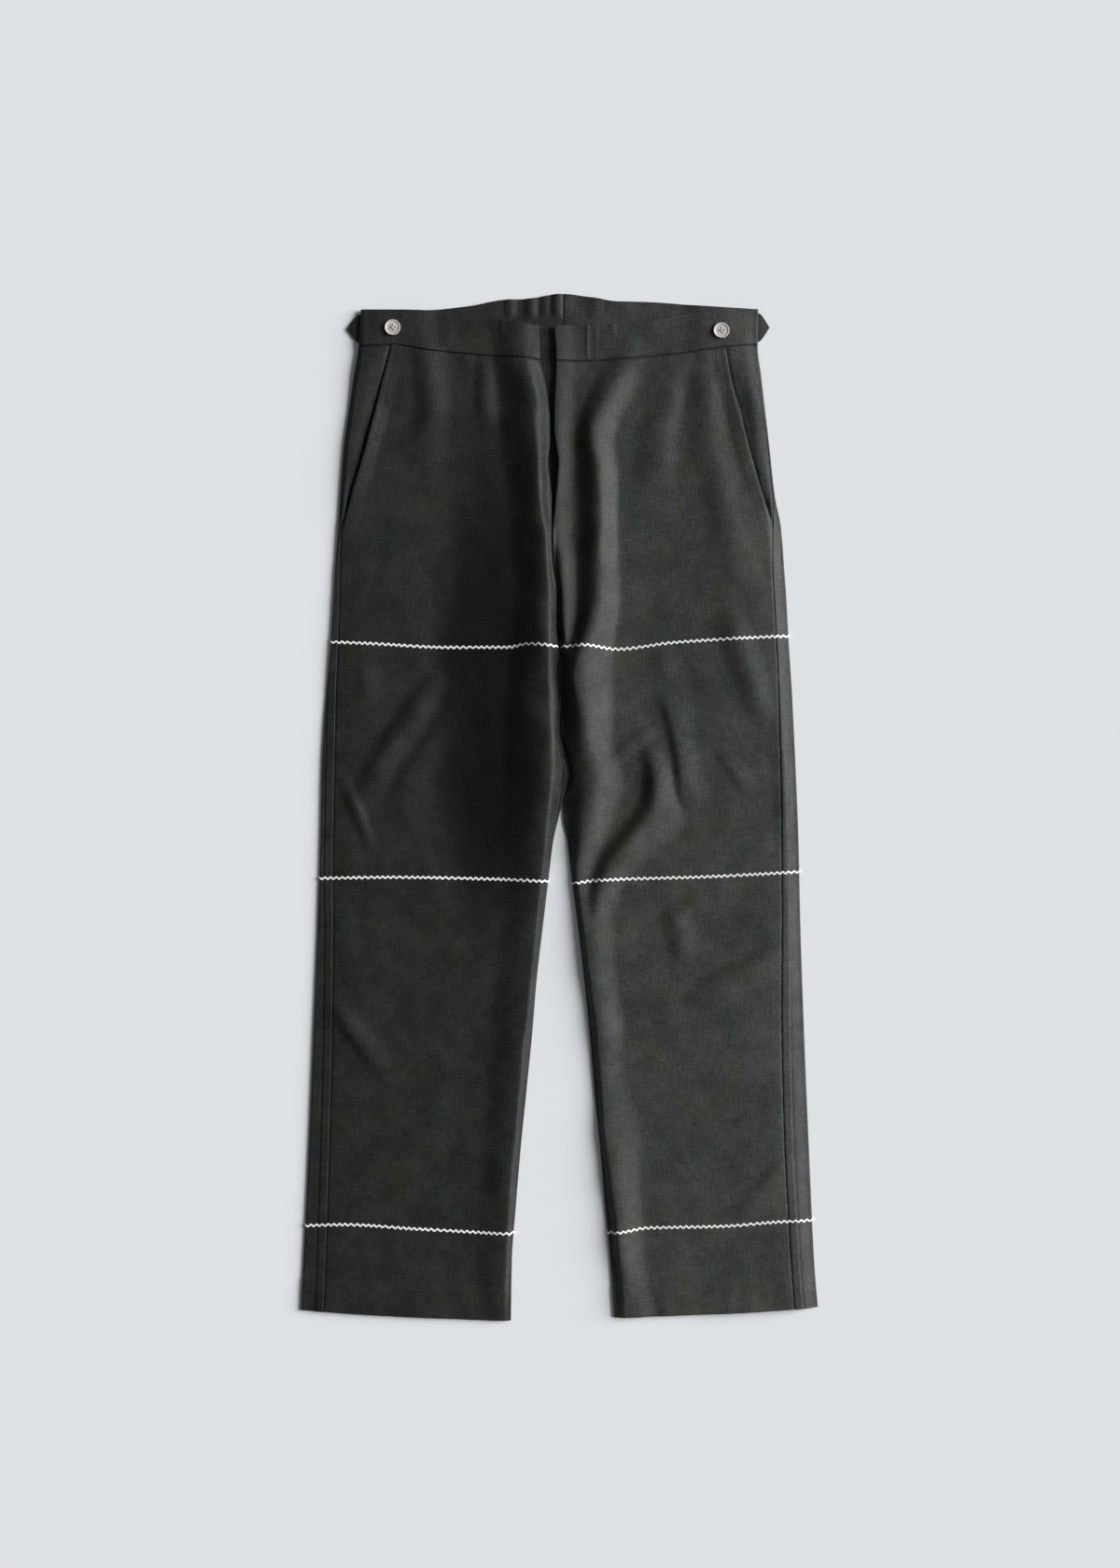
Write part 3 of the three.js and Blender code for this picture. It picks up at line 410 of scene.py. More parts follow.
# all folds, with crests that wander a little and heights that vary
def foldRelief(x, y):
    wander = foldPath["wander"] * unevenness(x, y, foldPath["wanderSize"], "wander")
    strength = 1 + foldPath["change"] * unevenness(x, y, foldPath["changeSize"], "strength")
    return strength * sum(height(x + wander, y + wander) for height in foldHeights)


# 0 where the legs are one body, 1 where a valley parts them
def split(y):
    return 1 - rise(y, cut["legSplit"], cut["legSplitEase"])


# how far the cloth bends round a leg's inner fold
def bend(y):
    ease = cut["bendStart"] - cut["crotch"]
    return np.maximum(1 - rise(y, cut["crotch"], ease), cut["leastBend"])


# the waist's side ends lie on the tabs
def tabLift(x, y):
    across = rise(np.abs(x), cut["tabRoomFrom"], cut["tabRoomEase"])
    return cut["tabRoom"] * across * rise(y, cut["tabRoomFoot"], cut["tabRoomFootEase"])


# small unevenness of pressed cloth
softness = {"broad": 1.1, "broadSize": (58, 84), "small": 0.34, "smallSize": (24, 34)}


def softWaves(x, y):
    broad = softness["broad"] * unevenness(x, y, softness["broadSize"], "broad")
    return broad + softness["small"] * unevenness(x, y, softness["smallSize"], "small")


# height of the top cloth's outer face
def topHeight(leg, x, y):
    fromOuter = np.abs(x - leg.outer(y))
    fromInner = np.abs(x - leg.inner(y))
    apart = split(y)
    crown = cut["crown"] * rise(fromOuter, 0, cut["crownWidth"])
    crown = crown * mix(1, rise(fromInner, 0, cut["crownWidth"]), apart)
    width = cut["bankWidth"][leg.name]
    fall = 1 - rise(fromOuter, 2 * width, cut["bankFall"][leg.name])
    crown = crown + leg.bank(y) * rise(fromOuter, 0, width) * fall
    fade = rise(fromOuter, 0, cut["edgeFade"])
    fade = fade * mix(1, rise(fromInner, 0, cut["innerFade"]), apart)
    folded = foldRelief(x, y) + softWaves(x, y)
    return 2 * cut["foldRadius"] + tabLift(x, y) + crown + folded * fade


# shallow hollows under the garment, which never reach below the surface that it lies on
hollows = {"size": (60, 130), "level": 0.12, "depth": 2.4, "inset": 6, "ease": 20}


def bottomHeight(leg, x, y):
    wave = unevenness(x, y, hollows["size"], "hollow") - hollows["level"]
    hollow = np.maximum(wave, 0) * hollows["depth"]
    for edge in (leg.outer, leg.inner):
        hollow = hollow * rise(np.abs(x - edge(y)), hollows["inset"], hollows["ease"])
    return tabLift(x, y) + hollow


# developed length from a fold's outermost line to a seam inside it
def insetLength(inset):
    radius = cut["foldRadius"]
    curved = np.minimum(inset, radius)
    return radius * np.arccos(1 - curved / radius) + np.maximum(inset - radius, 0)


def foldTangent(edge, inward, curl):
    return edge + inward * cut["foldRadius"] / curl * np.sin(curl * np.pi / 2)


# a point at a developed distance from a fold's outermost line, positive on top
def foldPoint(edge, inward, distance, curl, y, top, bottom):
    radius = cut["foldRadius"] / curl
    tangent = foldTangent(edge, inward, curl)
    past = np.abs(distance) - quarterFold
    flat = past >= 0
    angle = curl * np.maximum(-past, 0) / cut["foldRadius"]
    x = tangent + inward * np.where(flat, past, -radius * np.sin(angle))
    at = np.where(flat, x, tangent)
    drop = np.where(distance > 0, 1, -1) * radius * (1 - np.cos(angle))
    z = np.where(distance > 0, top(at, y), bottom(at, y)) - np.where(flat, 0, drop)
    return x, z


def level(x, y):
    return 0 * x


def foldX(edge, inward, distance, curl):
    return foldPoint(edge, inward, distance, curl, 0, level, level)[0]


# how far an edge rounds down at a distance from it
def roll(distance, radius):
    inside = radius - np.clip(distance, 0, radius)
    return radius - np.sqrt(np.maximum(radius ** 2 - inside ** 2, 0))


# finds y, which depends on x through the lines across, and x, which depends on y through the folds
def settle(v, lower, upper, findX, turns=4):
    y = mix(lower(0), upper(0), v)
    for _ in range(turns):
        x = findX(y)
        y = mix(lower(x), upper(x), v)
    return y


def readVerts(mesh):
    places = np.empty(len(mesh.vertices) * 3)
    mesh.vertices.foreach_get("co", places)
    return places.reshape(-1, 3)


def linkPiece(name, mesh):
    piece = bpy.data.objects.new(name, mesh)
    bpy.context.scene.collection.objects.link(piece)
    return piece


def finishPiece(name, mesh, sharpAngle=60):
    mesh.shade_smooth()
    mesh.set_sharp_from_angle(angle=math.radians(sharpAngle))
    return linkPiece(name, mesh)


def takeMesh(bm, name):
    mesh = bpy.data.meshes.new(name)
    bm.to_mesh(mesh)
    bm.free()
    return mesh


# a grid laid where place(u, v) says, in millimetres, with its developed sizes as its UV map
def laidGrid(name, columns, rows, place, turned):
    bm = bmesh.new()
    bm.loops.layers.uv.new("UVMap")
    bmesh.ops.create_grid(bm, x_segments=columns, y_segments=rows, size=0.5)
    if turned:
        bmesh.ops.reverse_faces(bm, faces=bm.faces[:])
    mesh = takeMesh(bm, name)
    share = readVerts(mesh)[:, :2] + 0.5
    x, y, z, across, down = place(share[:, 0], share[:, 1])
    mesh.vertices.foreach_set("co", (np.column_stack([x, y, z]) * mm).ravel())
    corners = np.empty(len(mesh.loops), np.int32)
    mesh.loops.foreach_get("vertex_index", corners)
    uv = np.column_stack([across, down])[corners] * mm
    mesh.uv_layers["UVMap"].data.foreach_set("uv", uv.ravel())
    return mesh


# a cloth panel: the laid grid is its outer face, turned on one side, and it gets its wall inwards
def layPanel(name, sizes, place, wall, turned):
    mesh = laidGrid(name, sizes["columns"], sizes["rows"], place, turned)
    bm = bmesh.new()
    bm.from_mesh(mesh)
    bmesh.ops.solidify(bm, geom=bm.faces[:], thickness=wall * mm)
    bm.to_mesh(mesh)
    bm.free()
    return finishPiece(name, mesh)


# fronts, from the pocket mouth or the outseam to the fly or the inseam
frontPanel = {
    "columns": 112,
    "rows": 400,
    "columnAt": [0, 0.045, 0.09, 0.86, 0.94, 0.975, 1],
    "columnShare": [0, 0.006, 0.018, 0.9, 0.975, 0.995, 1],
    "rowAt": [0, 0.01, 0.02, 0.965, 0.985, 1],
    "rowShare": [0, 0.001, 0.004, 0.985, 0.994, 1],
    "tuck": 6,
    "seamDip": 0.95,
    "seamDipWidth": 2.2,
    "seamRoll": 0.9,
    "flatBend": 0.4,
    "sideTuck": 0.45,
    "sideTuckWidth": 2.2,
    "mouthRoll": 1.2,
    "mouthFoot": 4,
    "mouthFootEase": 8,
    "mouthStand": 0.2,
    "mouthBulge": 2.3,
    "mouthStitch": 6.4,
    "mouthStitchDip": 0.35,
    "mouthStitchReach": 1.8,
    "mouthStitchEase": 6,
    "mouthFlat": 2,
    "mouthEase": 15,
    "mouthEndFade": 28,
    "waistPucker": 0.55,
    "waistPuckerSize": (11, 30),
    "waistPuckerReach": 34,
}


# from 0 at a pocket mouth's foot to 1 at the waist
def upPocket(y):
    return np.clip((y - cut["pocketEnd"]) / (cut["waistSeam"] - cut["pocketEnd"]), 0, 1)


# a front stands above the facing along its pocket mouth
def mouthRise(leg, x, y):
    inside = leg.inward * (x - leg.mouth(y))
    fade = frontPanel["mouthEndFade"]
    stand = frontPanel["mouthStand"] + frontPanel["mouthBulge"] * np.sin(np.pi * upPocket(y))
    stand = stand * rise(y, cut["pocketEnd"] - fade, fade)
    return stand * (1 - rise(inside, frontPanel["mouthFlat"], frontPanel["mouthEase"]))


# the turned hem: a little thicker below its stitches, and softly wavy
hem = {
    "raise": 0.45,
    "raiseEnd": 1.5,
    "raiseEase": 3,
    "stitchDip": 0.55,
    "stitchReach": 2.2,
    "wave": 0.5,
    "waveSize": (15, 70),
    "waveFlat": 12,
    "waveEase": 34,
}


def hemRelief(x, y):
    above = y - hemLine(x)
    thick = 1 - rise(above, cut["hemDepth"] - hem["raiseEnd"], hem["raiseEase"])
    dip = hem["stitchDip"] * ridge(above - cut["hemDepth"], hem["stitchReach"])
    wave = hem["wave"] * unevenness(x, above, hem["waveSize"], "hem")
    return hem["raise"] * thick - dip + wave * (1 - rise(above, hem["waveFlat"], hem["waveEase"]))


# a dent along the stitches beside the pocket mouth
def mouthDent(leg, x, y):
    fromStitch = leg.inward * (x - leg.mouth(y)) - frontPanel["mouthStitch"]
    beside = rise(y, cut["pocketEnd"], frontPanel["mouthStitchEase"])
    return frontPanel["mouthStitchDip"] * ridge(fromStitch, frontPanel["mouthStitchReach"]) * beside


def frontHeight(leg, x, y):
    pucker = frontPanel["waistPucker"] * unevenness(x, y, frontPanel["waistPuckerSize"], "waist")
    near = 1 - rise(frontSeam(x) - y, 0, frontPanel["waistPuckerReach"])
    relief = hemRelief(x, y) + pucker * near - mouthDent(leg, x, y)
    return topHeight(leg, x, y) + mouthRise(leg, x, y) + relief


def frontStart(leg, y):
    seam = leg.outer(y) + leg.inward * (leg.outseam(y) + cut["seamGap"] / 2)
    return np.where(y > cut["pocketEnd"], leg.mouth(y), seam)


# how far cloth has reached in under the waistband
def underBand(x, y):
    return smooth(1 - (frontSeam(x) - y) / frontPanel["seamDipWidth"])


def frontPlace(leg):
    def distances(u, y):
        tangent = foldTangent(leg.inner(y), -leg.inward, bend(y))
        start = quarterFold - leg.inward * (frontStart(leg, y) - tangent)
        end = insetLength(leg.inseam(y)) + cut["seamGap"] / 2
        share = np.interp(u, frontPanel["columnAt"], frontPanel["columnShare"])
        return mix(start, end, share), start, end

    def place(u, v):
        v = np.interp(v, frontPanel["rowAt"], frontPanel["rowShare"])
        findX = lambda y: foldX(leg.inner(y), -leg.inward, distances(u, y)[0], bend(y))
        y = settle(v, hemLine, lambda x: frontSeam(x) + frontPanel["tuck"], findX)
        distance, start, end = distances(u, y)
        top = lambda x, y: frontHeight(leg, x, y)
        x, z = foldPoint(leg.inner(y), -leg.inward, distance, bend(y), y, top, top)
        atMouth = rise(y, cut["pocketEnd"] - frontPanel["mouthFoot"], frontPanel["mouthFootEase"])
        z -= roll(start - distance, frontPanel["mouthRoll"]) * atMouth
        tucked = smooth(1 - (start - distance) / frontPanel["sideTuckWidth"])
        z -= frontPanel["sideTuck"] * tucked * (1 - atMouth)
        flat = 1 - rise(bend(y), 0, frontPanel["flatBend"])
        z -= roll(distance - end, frontPanel["seamRoll"]) * flat
        z -= roll(y - hemLine(x), frontPanel["seamRoll"])
        z -= frontPanel["seamDip"] * underBand(x, y)
        return x, y, z, distance, y

    return place


fronts = {}
for leg in legs:
    fronts[leg.name] = layPanel(
        "front" + leg.name, frontPanel, frontPlace(leg), cut["wall"], leg is left
    )
print("fronts laid")
# backs: the whole underside, wrapping up over both folds
backPanel = {
    "columns": 110,
    "rows": 300,
    "outerShare": 0.26,
    "innerShare": 0.86,
    "seamRoll": 0.5,
    "onTopFrom": 1,
    "onTopEase": 3,
    "onTopDepth": 1,
    "flapRaise": 0.5,
    "flapEnd": -1,
    "flapEase": 2,
    "topstitch": 8.6,
    "topstitchDip": 0.4,
    "topstitchReach": 1.5,
    "pucker": 0.4,
    "puckerSize": (12, 9),
    "puckerFade": 9,
}


def backInner(leg, y):
    up = np.clip((y - cut["crotch"]) / (cut["waistSeam"] - cut["crotch"]), 0, 1)
    seam = mix(cut["centreBackCrotch"], cut["centreBackTop"], up)
    edge = seam - leg.inward * cut["seamGap"] / 2
    above = mix(leg.inner(cut["crotch"]), edge, rise(y, cut["crotch"], cut["backInnerEase"]))
    return np.where(y <= cut["crotch"], leg.inner(y), above)


def backPlace(leg):
    def distances(u, y):
        outerEnd = insetLength(leg.outseam(y)) - cut["seamGap"] / 2
        innerEnd = insetLength(leg.inseam(y)) - cut["seamGap"] / 2
        outerTangent = foldTangent(leg.outer(y), leg.inward, 1)
        innerTangent = foldTangent(backInner(leg, y), -leg.inward, bend(y))
        flat = leg.inward * (innerTangent - outerTangent)
        a, b = backPanel["outerShare"], backPanel["innerShare"]
        outerWrap, innerWrap = outerEnd + quarterFold, innerEnd + quarterFold
        length = np.where(
            u < b,
            outerWrap + flat * (u - a) / (b - a),
            outerWrap + flat + innerWrap * (u - b) / (1 - b),
        )
        length = np.where(u < a, outerWrap * u / a, length)
        return outerEnd - length, length - (outerWrap + flat + innerWrap) + innerEnd, length

    def findX(u, y, top, bottom):
        fromOuter, fromInner, length = distances(u, y)
        outerX, outerZ = foldPoint(leg.outer(y), leg.inward, fromOuter, 1, y, top, bottom)
        innerX, innerZ = foldPoint(
            backInner(leg, y), -leg.inward, fromInner, bend(y), y, top, bottom
        )
        nearOuter = u < (backPanel["outerShare"] + backPanel["innerShare"]) / 2
        return np.where(nearOuter, outerX, innerX), np.where(nearOuter, outerZ, innerZ), length

    def place(u, v):
        v = np.interp(v, frontPanel["rowAt"], frontPanel["rowShare"])
        upper = lambda x: backSeam(x) - cut["seamGap"] / 2
        y = settle(v, hemLine, upper, lambda y: findX(u, y, level, level)[0])
        top = lambda x, y: topHeight(leg, x, y) + hemRelief(x, y)
        x, z, length = findX(u, y, top, lambda x, y: bottomHeight(leg, x, y))
        onTop = rise(leg.outseam(y), backPanel["onTopFrom"], backPanel["onTopEase"])
        onTop = onTop * (u < backPanel["outerShare"])
        fromStitch = length - backPanel["topstitch"]
        flap = 1 - rise(fromStitch, backPanel["flapEnd"], backPanel["flapEase"])
        dip = backPanel["topstitchDip"] * ridge(fromStitch, backPanel["topstitchReach"])
        pucker = backPanel["pucker"] * unevenness(length, y, backPanel["puckerSize"], "outseam")
        relief = backPanel["flapRaise"] * flap - dip
        relief = relief + pucker * np.exp(-length / backPanel["puckerFade"])
        reach = smooth(np.maximum(z - 2 * cut["foldRadius"] + backPanel["onTopDepth"], 0))
        z += (relief - roll(length, backPanel["seamRoll"])) * onTop * reach
        return x, y, z, length, y

    return place


backs = {}
for leg in legs:
    backs[leg.name] = layPanel(
        "back" + leg.name, backPanel, backPlace(leg), cut["wall"], leg is right
    )
print("backs laid")

# waistbands
waistband = {
    "columns": 150,
    "rows": 26,
    "stand": 1.0,
    "roll": 1.3,
    "lowerRoll": 0.65,
    "creaseEase": 8,
    "endRoll": {"Right": 0.4, "Left": 1.0},
    "centreRoll": {"Right": 0.15, "Left": 0.9},
    "columnAt": [0, 0.04, 0.96, 1],
    "columnShare": [0, 0.03, 0.985, 1],
    "rowAt": [0, 0.12, 0.2, 0.8, 0.88, 1],
    "rowShare": [0, 0.02, 0.06, 0.94, 0.98, 1],
    "backFoldStart": 491,
    "backFoldFade": 12,
}

# small creases across the bands: place, height, half width and how far down they run
bandCreases = [
    [28, 0.7, 2.4, 36], [37, 0.3, 2.6, 36], [54, 0.5, 5, 15], [-58, 0.4, 4, 20],
    [-112, 0.5, 12, 36], [96, 0.5, 14, 36],
]

# ridges along the top of the back band, and its seam: place, height and half width
backBandRidges = [
    [-50, 1.5, 8], [-29, 1.9, 9], [-14, 1.3, 8], [-3, 1.8, 8], [3.3, -0.9, 1.5], [4, 1.5, 18],
    [36, 0.9, 11], [66, 0.6, 14],
]


def frontBandHeight(leg, x, y):
    creases = 0
    for at, height, width, reach in bandCreases:
        down = 1 - rise(frontTop(x) - y, reach - waistband["creaseEase"], waistband["creaseEase"])
        creases = creases + height * ridge(x - at, width) * down
    return topHeight(leg, x, y) + waistband["stand"] + creases


def frontBandPlace(leg):
    def distances(u, y):
        tangent = foldTangent(leg.outer(y), leg.inward, 1)
        end = quarterFold + leg.inward * (leg.inner(y) - tangent)
        share = np.interp(u, waistband["columnAt"], waistband["columnShare"])
        return mix(cut["seamGap"] / 2, end, share), end

    def place(u, v):
        v = np.interp(v, waistband["rowAt"], waistband["rowShare"])
        findX = lambda y: foldX(leg.outer(y), leg.inward, distances(u, y)[0], 1)
        lower = lambda x: frontSeam(x) + cut["seamGap"] / 2
        y = settle(v, lower, frontTop, findX)
        distance, end = distances(u, y)
        top = lambda x, y: frontBandHeight(leg, x, y)
        x, z = foldPoint(leg.outer(y), leg.inward, distance, 1, y, top, top)
        z -= roll(frontTop(x) - y, waistband["roll"])
        z -= roll(y - lower(x), waistband["lowerRoll"])
        z -= roll(end - distance, waistband["endRoll"][leg.name])
        return x, y, z, distance, y

    return place


def backBandHeight(x, y):
    shown = rise(y, waistband["backFoldStart"], waistband["backFoldFade"])
    folded = sum(height * ridge(x - at, width) for at, height, width in backBandRidges)
    return tabLift(x, y) + folded * shown


def backBandPlace(leg):
    def distances(u, y):
        tangent = foldTangent(leg.outer(y), leg.inward, 1)
        centre = cut["centreBackTop"] - leg.inward * cut["seamGap"] / 2
        return -mix(cut["seamGap"] / 2, quarterFold + leg.inward * (centre - tangent), u)

    def place(u, v):
        v = np.interp(v, waistband["rowAt"], waistband["rowShare"])
        findX = lambda y: foldX(leg.outer(y), leg.inward, distances(u, y), 1)
        lower = lambda x: backSeam(x) + cut["seamGap"] / 2
        y = settle(v, lower, backTop, findX)
        distance = distances(u, y)
        x, z = foldPoint(leg.outer(y), leg.inward, distance, 1, y, backBandHeight, backBandHeight)
        z -= roll(np.abs(x - cut["centreBackTop"]), waistband["centreRoll"][leg.name])
        return x, y, z, -distance, y

    return place


frontBands = {}
backBands = {}
for leg in legs:
    frontBands[leg.name] = layPanel(
        "frontWaistband" + leg.name, waistband, frontBandPlace(leg), cut["bandWall"], leg is left
    )
    backBands[leg.name] = layPanel(
        "backWaistband" + leg.name, waistband, backBandPlace(leg), cut["bandWall"], leg is right
    )
print("waistbands laid")

# pocket facings, between the slanted mouth and the side
facing = {
    "columns": 40,
    "rows": 80,
    "underlap": 14,
    "below": 4,
    "tuck": 5,
    "dip": 1.3,
    "dipWidth": 6,
    "dipStart": 0.7,
    "footLead": 6,
    "footEase": 8,
    "foldLength": 1,
    "foldEase": 4,
    "sink": {"Right": 2.1, "Left": 4.6},
    "sinkStart": 0.14,
    "sinkHold": {"Right": 0.45, "Left": 0.62},
    "sinkShare": 0.85,
    "leastShown": 4,
}


def facingPlace(leg):
    def distances(u, y):
        tangent = foldTangent(leg.outer(y), leg.inward, 1)
        start = insetLength(leg.outseam(y)) + cut["seamGap"] / 2
        under = leg.mouth(y) + leg.inward * facing["underlap"]
        return mix(start, quarterFold + leg.inward * (under - tangent), u)

    def place(u, v):
        findX = lambda y: foldX(leg.outer(y), leg.inward, distances(u, y), 1)
        lower = lambda x: cut["pocketEnd"] - facing["below"] + 0 * x
        y = settle(v, lower, lambda x: frontSeam(x) + facing["tuck"], findX)
        distance = distances(u, y)
        top = lambda x, y: topHeight(leg, x, y)
        x, z = foldPoint(leg.outer(y), leg.inward, distance, 1, y, top, top)
        outside = leg.inward * (leg.mouth(y) - x)
        below = smooth((cut["pocketEnd"] + facing["footLead"] - y) / facing["footEase"])
        beside = smooth(facing["dipStart"] - outside / facing["dipWidth"])
        inner = rise(distance, facing["foldLength"], facing["foldEase"])
        z -= facing["dip"] * np.maximum.reduce([underBand(x, y), below, beside]) * inner
        # it sinks towards the mouth, except at the mouth's top and foot
        up = upPocket(y)
        hold = facing["sinkHold"][leg.name]
        where = rise(up, 0, facing["sinkStart"]) * (1 - rise(up, hold, 1 - hold))
        shown = np.abs(leg.mouth(y) - leg.outer(y)) - leg.outseam(y)
        near = smooth(1 - outside / np.maximum(facing["sinkShare"] * shown, facing["leastShown"]))
        z -= facing["sink"][leg.name] * where * near * inner
        return x, y, z, distance, y

    return place


facings = {}
for leg in legs:
    facings[leg.name] = layPanel(
        "pocketFacing" + leg.name, facing, facingPlace(leg), cut["wall"], leg is left
    )
print("pocket facings laid")

# the strip behind the fly
flyStrip = {
    "rightX": -42,
    "leftX": 30,
    "topDrop": 3,
    "corner": 26,
    "bottom": 2.1,
    "wall": 1.4,
    "columns": 30,
    "rows": 90,
}


def flyStripPlace(u, v):
    x = mix(flyStrip["rightX"], flyStrip["leftX"], u)
    topY = frontTop(flyStrip["rightX"]) - flyStrip["topDrop"]
    fromCorner = np.clip((x - flyStrip["leftX"]) / flyStrip["corner"] + 1, 0, 1)
    lowY = cut["flyEnd"] + flyStrip["corner"] * (1 - np.sqrt(np.maximum(1 - fromCorner ** 2, 0)))
    y = mix(lowY, topY, v)
    z = flyStrip["bottom"] + flyStrip["wall"] + 0 * x
    return x, y, z, x, y


flyPiece = layPanel("flyUnderlap", flyStrip, flyStripPlace, flyStrip["wall"], False)

# side tabs, pointing past the side folds
tabs = {
    "baseX": 150,
    "thick": 2.0,
    "edge": 0.85,
    "edgeSegments": 4,
    "lift": 0.5,
    "liftFrom": 196,
    "liftTo": 204,
    "liftCuts": 7,
    "shoulder": (0.6, 0.9),
    "point": [(0.3, 0.62), (0.85, 0.14)],
    "Right": {"tipX": -214.8, "y": 483.5, "width": 29, "point": 9, "ease": 4},
    "Left": {"tipX": 212.4, "y": 485, "width": 29, "point": 8, "ease": 3},
}


def makeTab(leg):
    tip = tabs[leg.name]
    away = -leg.inward
    shoulder = tip["tipX"] - away * tip["point"]
    half = tip["width"] / 2
    inset, share = tabs["shoulder"]
    lower = [
        (away * tabs["baseX"], -half),
        (shoulder - away * tip["ease"], -half),
        (shoulder - away * inset, -half * share),
    ]
    lower += [(mix(shoulder, tip["tipX"], out), -half * share) for out, share in tabs["point"]]
    outline = lower + [(tip["tipX"], 0)] + [(x, -y) for x, y in reversed(lower)]
    bm = bmesh.new()
    corners = [bm.verts.new((x * mm, (tip["y"] + y) * mm, 0)) for x, y in outline]
    face = bmesh.ops.contextual_create(bm, geom=corners)["faces"][0]
    raised = bmesh.ops.extrude_face_region(bm, geom=[face])["geom"]
    lifted = [v for v in raised if isinstance(v, bmesh.types.BMVert)]
    bmesh.ops.translate(bm, verts=lifted, vec=(0, 0, tabs["thick"] * mm))
    bmesh.ops.recalc_face_normals(bm, faces=bm.faces[:])
    flatEdges = [e for e in bm.edges if abs(e.verts[0].co.z - e.verts[1].co.z) < mergeReach]
    bmesh.ops.bevel(
        bm, geom=flatEdges, offset=tabs["edge"] * mm, offset_type="OFFSET", affect="EDGES",
        segments=tabs["edgeSegments"], profile=0.5, material=-1,
    )
    for cutX in np.linspace(tabs["liftFrom"], tabs["liftTo"], tabs["liftCuts"]):
        geometry = bm.verts[:] + bm.edges[:] + bm.faces[:]
        bmesh.ops.bisect_plane(
            bm, geom=geometry, plane_co=(away * cutX * mm, 0, 0), plane_no=(1, 0, 0)
        )
    for vert in bm.verts:
        past = rise(abs(vert.co.x) / mm, tabs["liftFrom"], tabs["liftTo"] - tabs["liftFrom"])
        vert.co.z += tabs["lift"] * mm * float(past)
    name = "sideTab" + leg.name
    return finishPiece(name, takeMesh(bm, name), sharpAngle=40)


tabPieces = {leg.name: makeTab(leg) for leg in legs}
print("fly strip and tabs made")

# four-hole buttons on the waistband, with a profile of radius and height
buttons = {
    "profile": [
        (0, 0), (6.6, 0), (7.7, 0.6), (8, 1.3), (7.9, 1.9), (7.5, 2.4), (7, 2.3), (6.65, 2.22),
        (6.15, 1.9), (5.8, 1.76), (5.25, 1.76), (4.65, 1.8), (3.15, 1.88), (0, 1.8),
    ],
    "face": 1.8,
    "sides": 64,
    "seatReach": 6,
    "seatGap": 0.1,
    "holeRadius": 0.75,
    "holeRing": 2.45,
    "holeDepth": 8,
    "holeSides": 20,
    "turn": 0.1,
    "thread": 0.36,
    "strandApart": 0.3,
    "threadRise": 0.12,
    "threadCross": 0.3,
    "threadInset": 0.9,
    "Right": (-168.3, 483.7),
    "Left": (162.9, 480.4),
}


def makeButton(leg):
    bm = bmesh.new()
    points = [bm.verts.new((r * mm, 0, z * mm)) for r, z in buttons["profile"]]
    lines = [bm.edges.new(pair) for pair in zip(points, points[1:])]
    bmesh.ops.spin(
        bm, geom=points + lines, cent=(0, 0, 0), axis=(0, 0, 1), angle=2 * math.pi,
        steps=buttons["sides"], use_merge=True,
    )
    bmesh.ops.remove_doubles(bm, verts=bm.verts[:], dist=mergeReach)
    bmesh.ops.recalc_face_normals(bm, faces=bm.faces[:])
    x, y = buttons[leg.name]
    aside, along = np.meshgrid([-1, 0, 1], [-1, 0, 1])
    reach = buttons["seatReach"]
    seat = frontBandHeight(leg, x + reach * aside.ravel(), y + reach * along.ravel()).max()
    place = Matrix.Translation(Vector((x, y, seat + buttons["seatGap"])) * mm)
    bmesh.ops.transform(bm, matrix=place, verts=bm.verts[:])
    name = "button" + leg.name
    piece = finishPiece(name, takeMesh(bm, name), sharpAngle=40)
    drillHoles(piece, place)
    return piece, place


# four drilled holes, cut by one object of four cylinders
def drillHoles(piece, place):
    bm = bmesh.new()
    for hole in range(4):
        angle = hole * math.pi / 2 + buttons["turn"]
        spot = Vector((math.cos(angle), math.sin(angle), 0)) * buttons["holeRing"] * mm
        bmesh.ops.create_cone(
            bm, cap_ends=True, segments=buttons["holeSides"], radius1=buttons["holeRadius"] * mm,
            radius2=buttons["holeRadius"] * mm, depth=buttons["holeDepth"] * mm,
            matrix=place @ Matrix.Translation(spot),
        )
    drill = linkPiece("buttonDrill", takeMesh(bm, "buttonDrill"))
    holes = piece.modifiers.new("holes", "BOOLEAN")
    holes.object = drill
    holes.operation = "DIFFERENCE"
    bpy.context.view_layer.update()
    made = piece.evaluated_get(bpy.context.evaluated_depsgraph_get())
    piece.data = bpy.data.meshes.new_from_object(made)
    piece.modifiers.clear()
    piece.data.name = piece.name
    bpy.data.objects.remove(drill)


def unit(vectors):
    return vectors / np.linalg.norm(vectors, axis=1, keepdims=True)


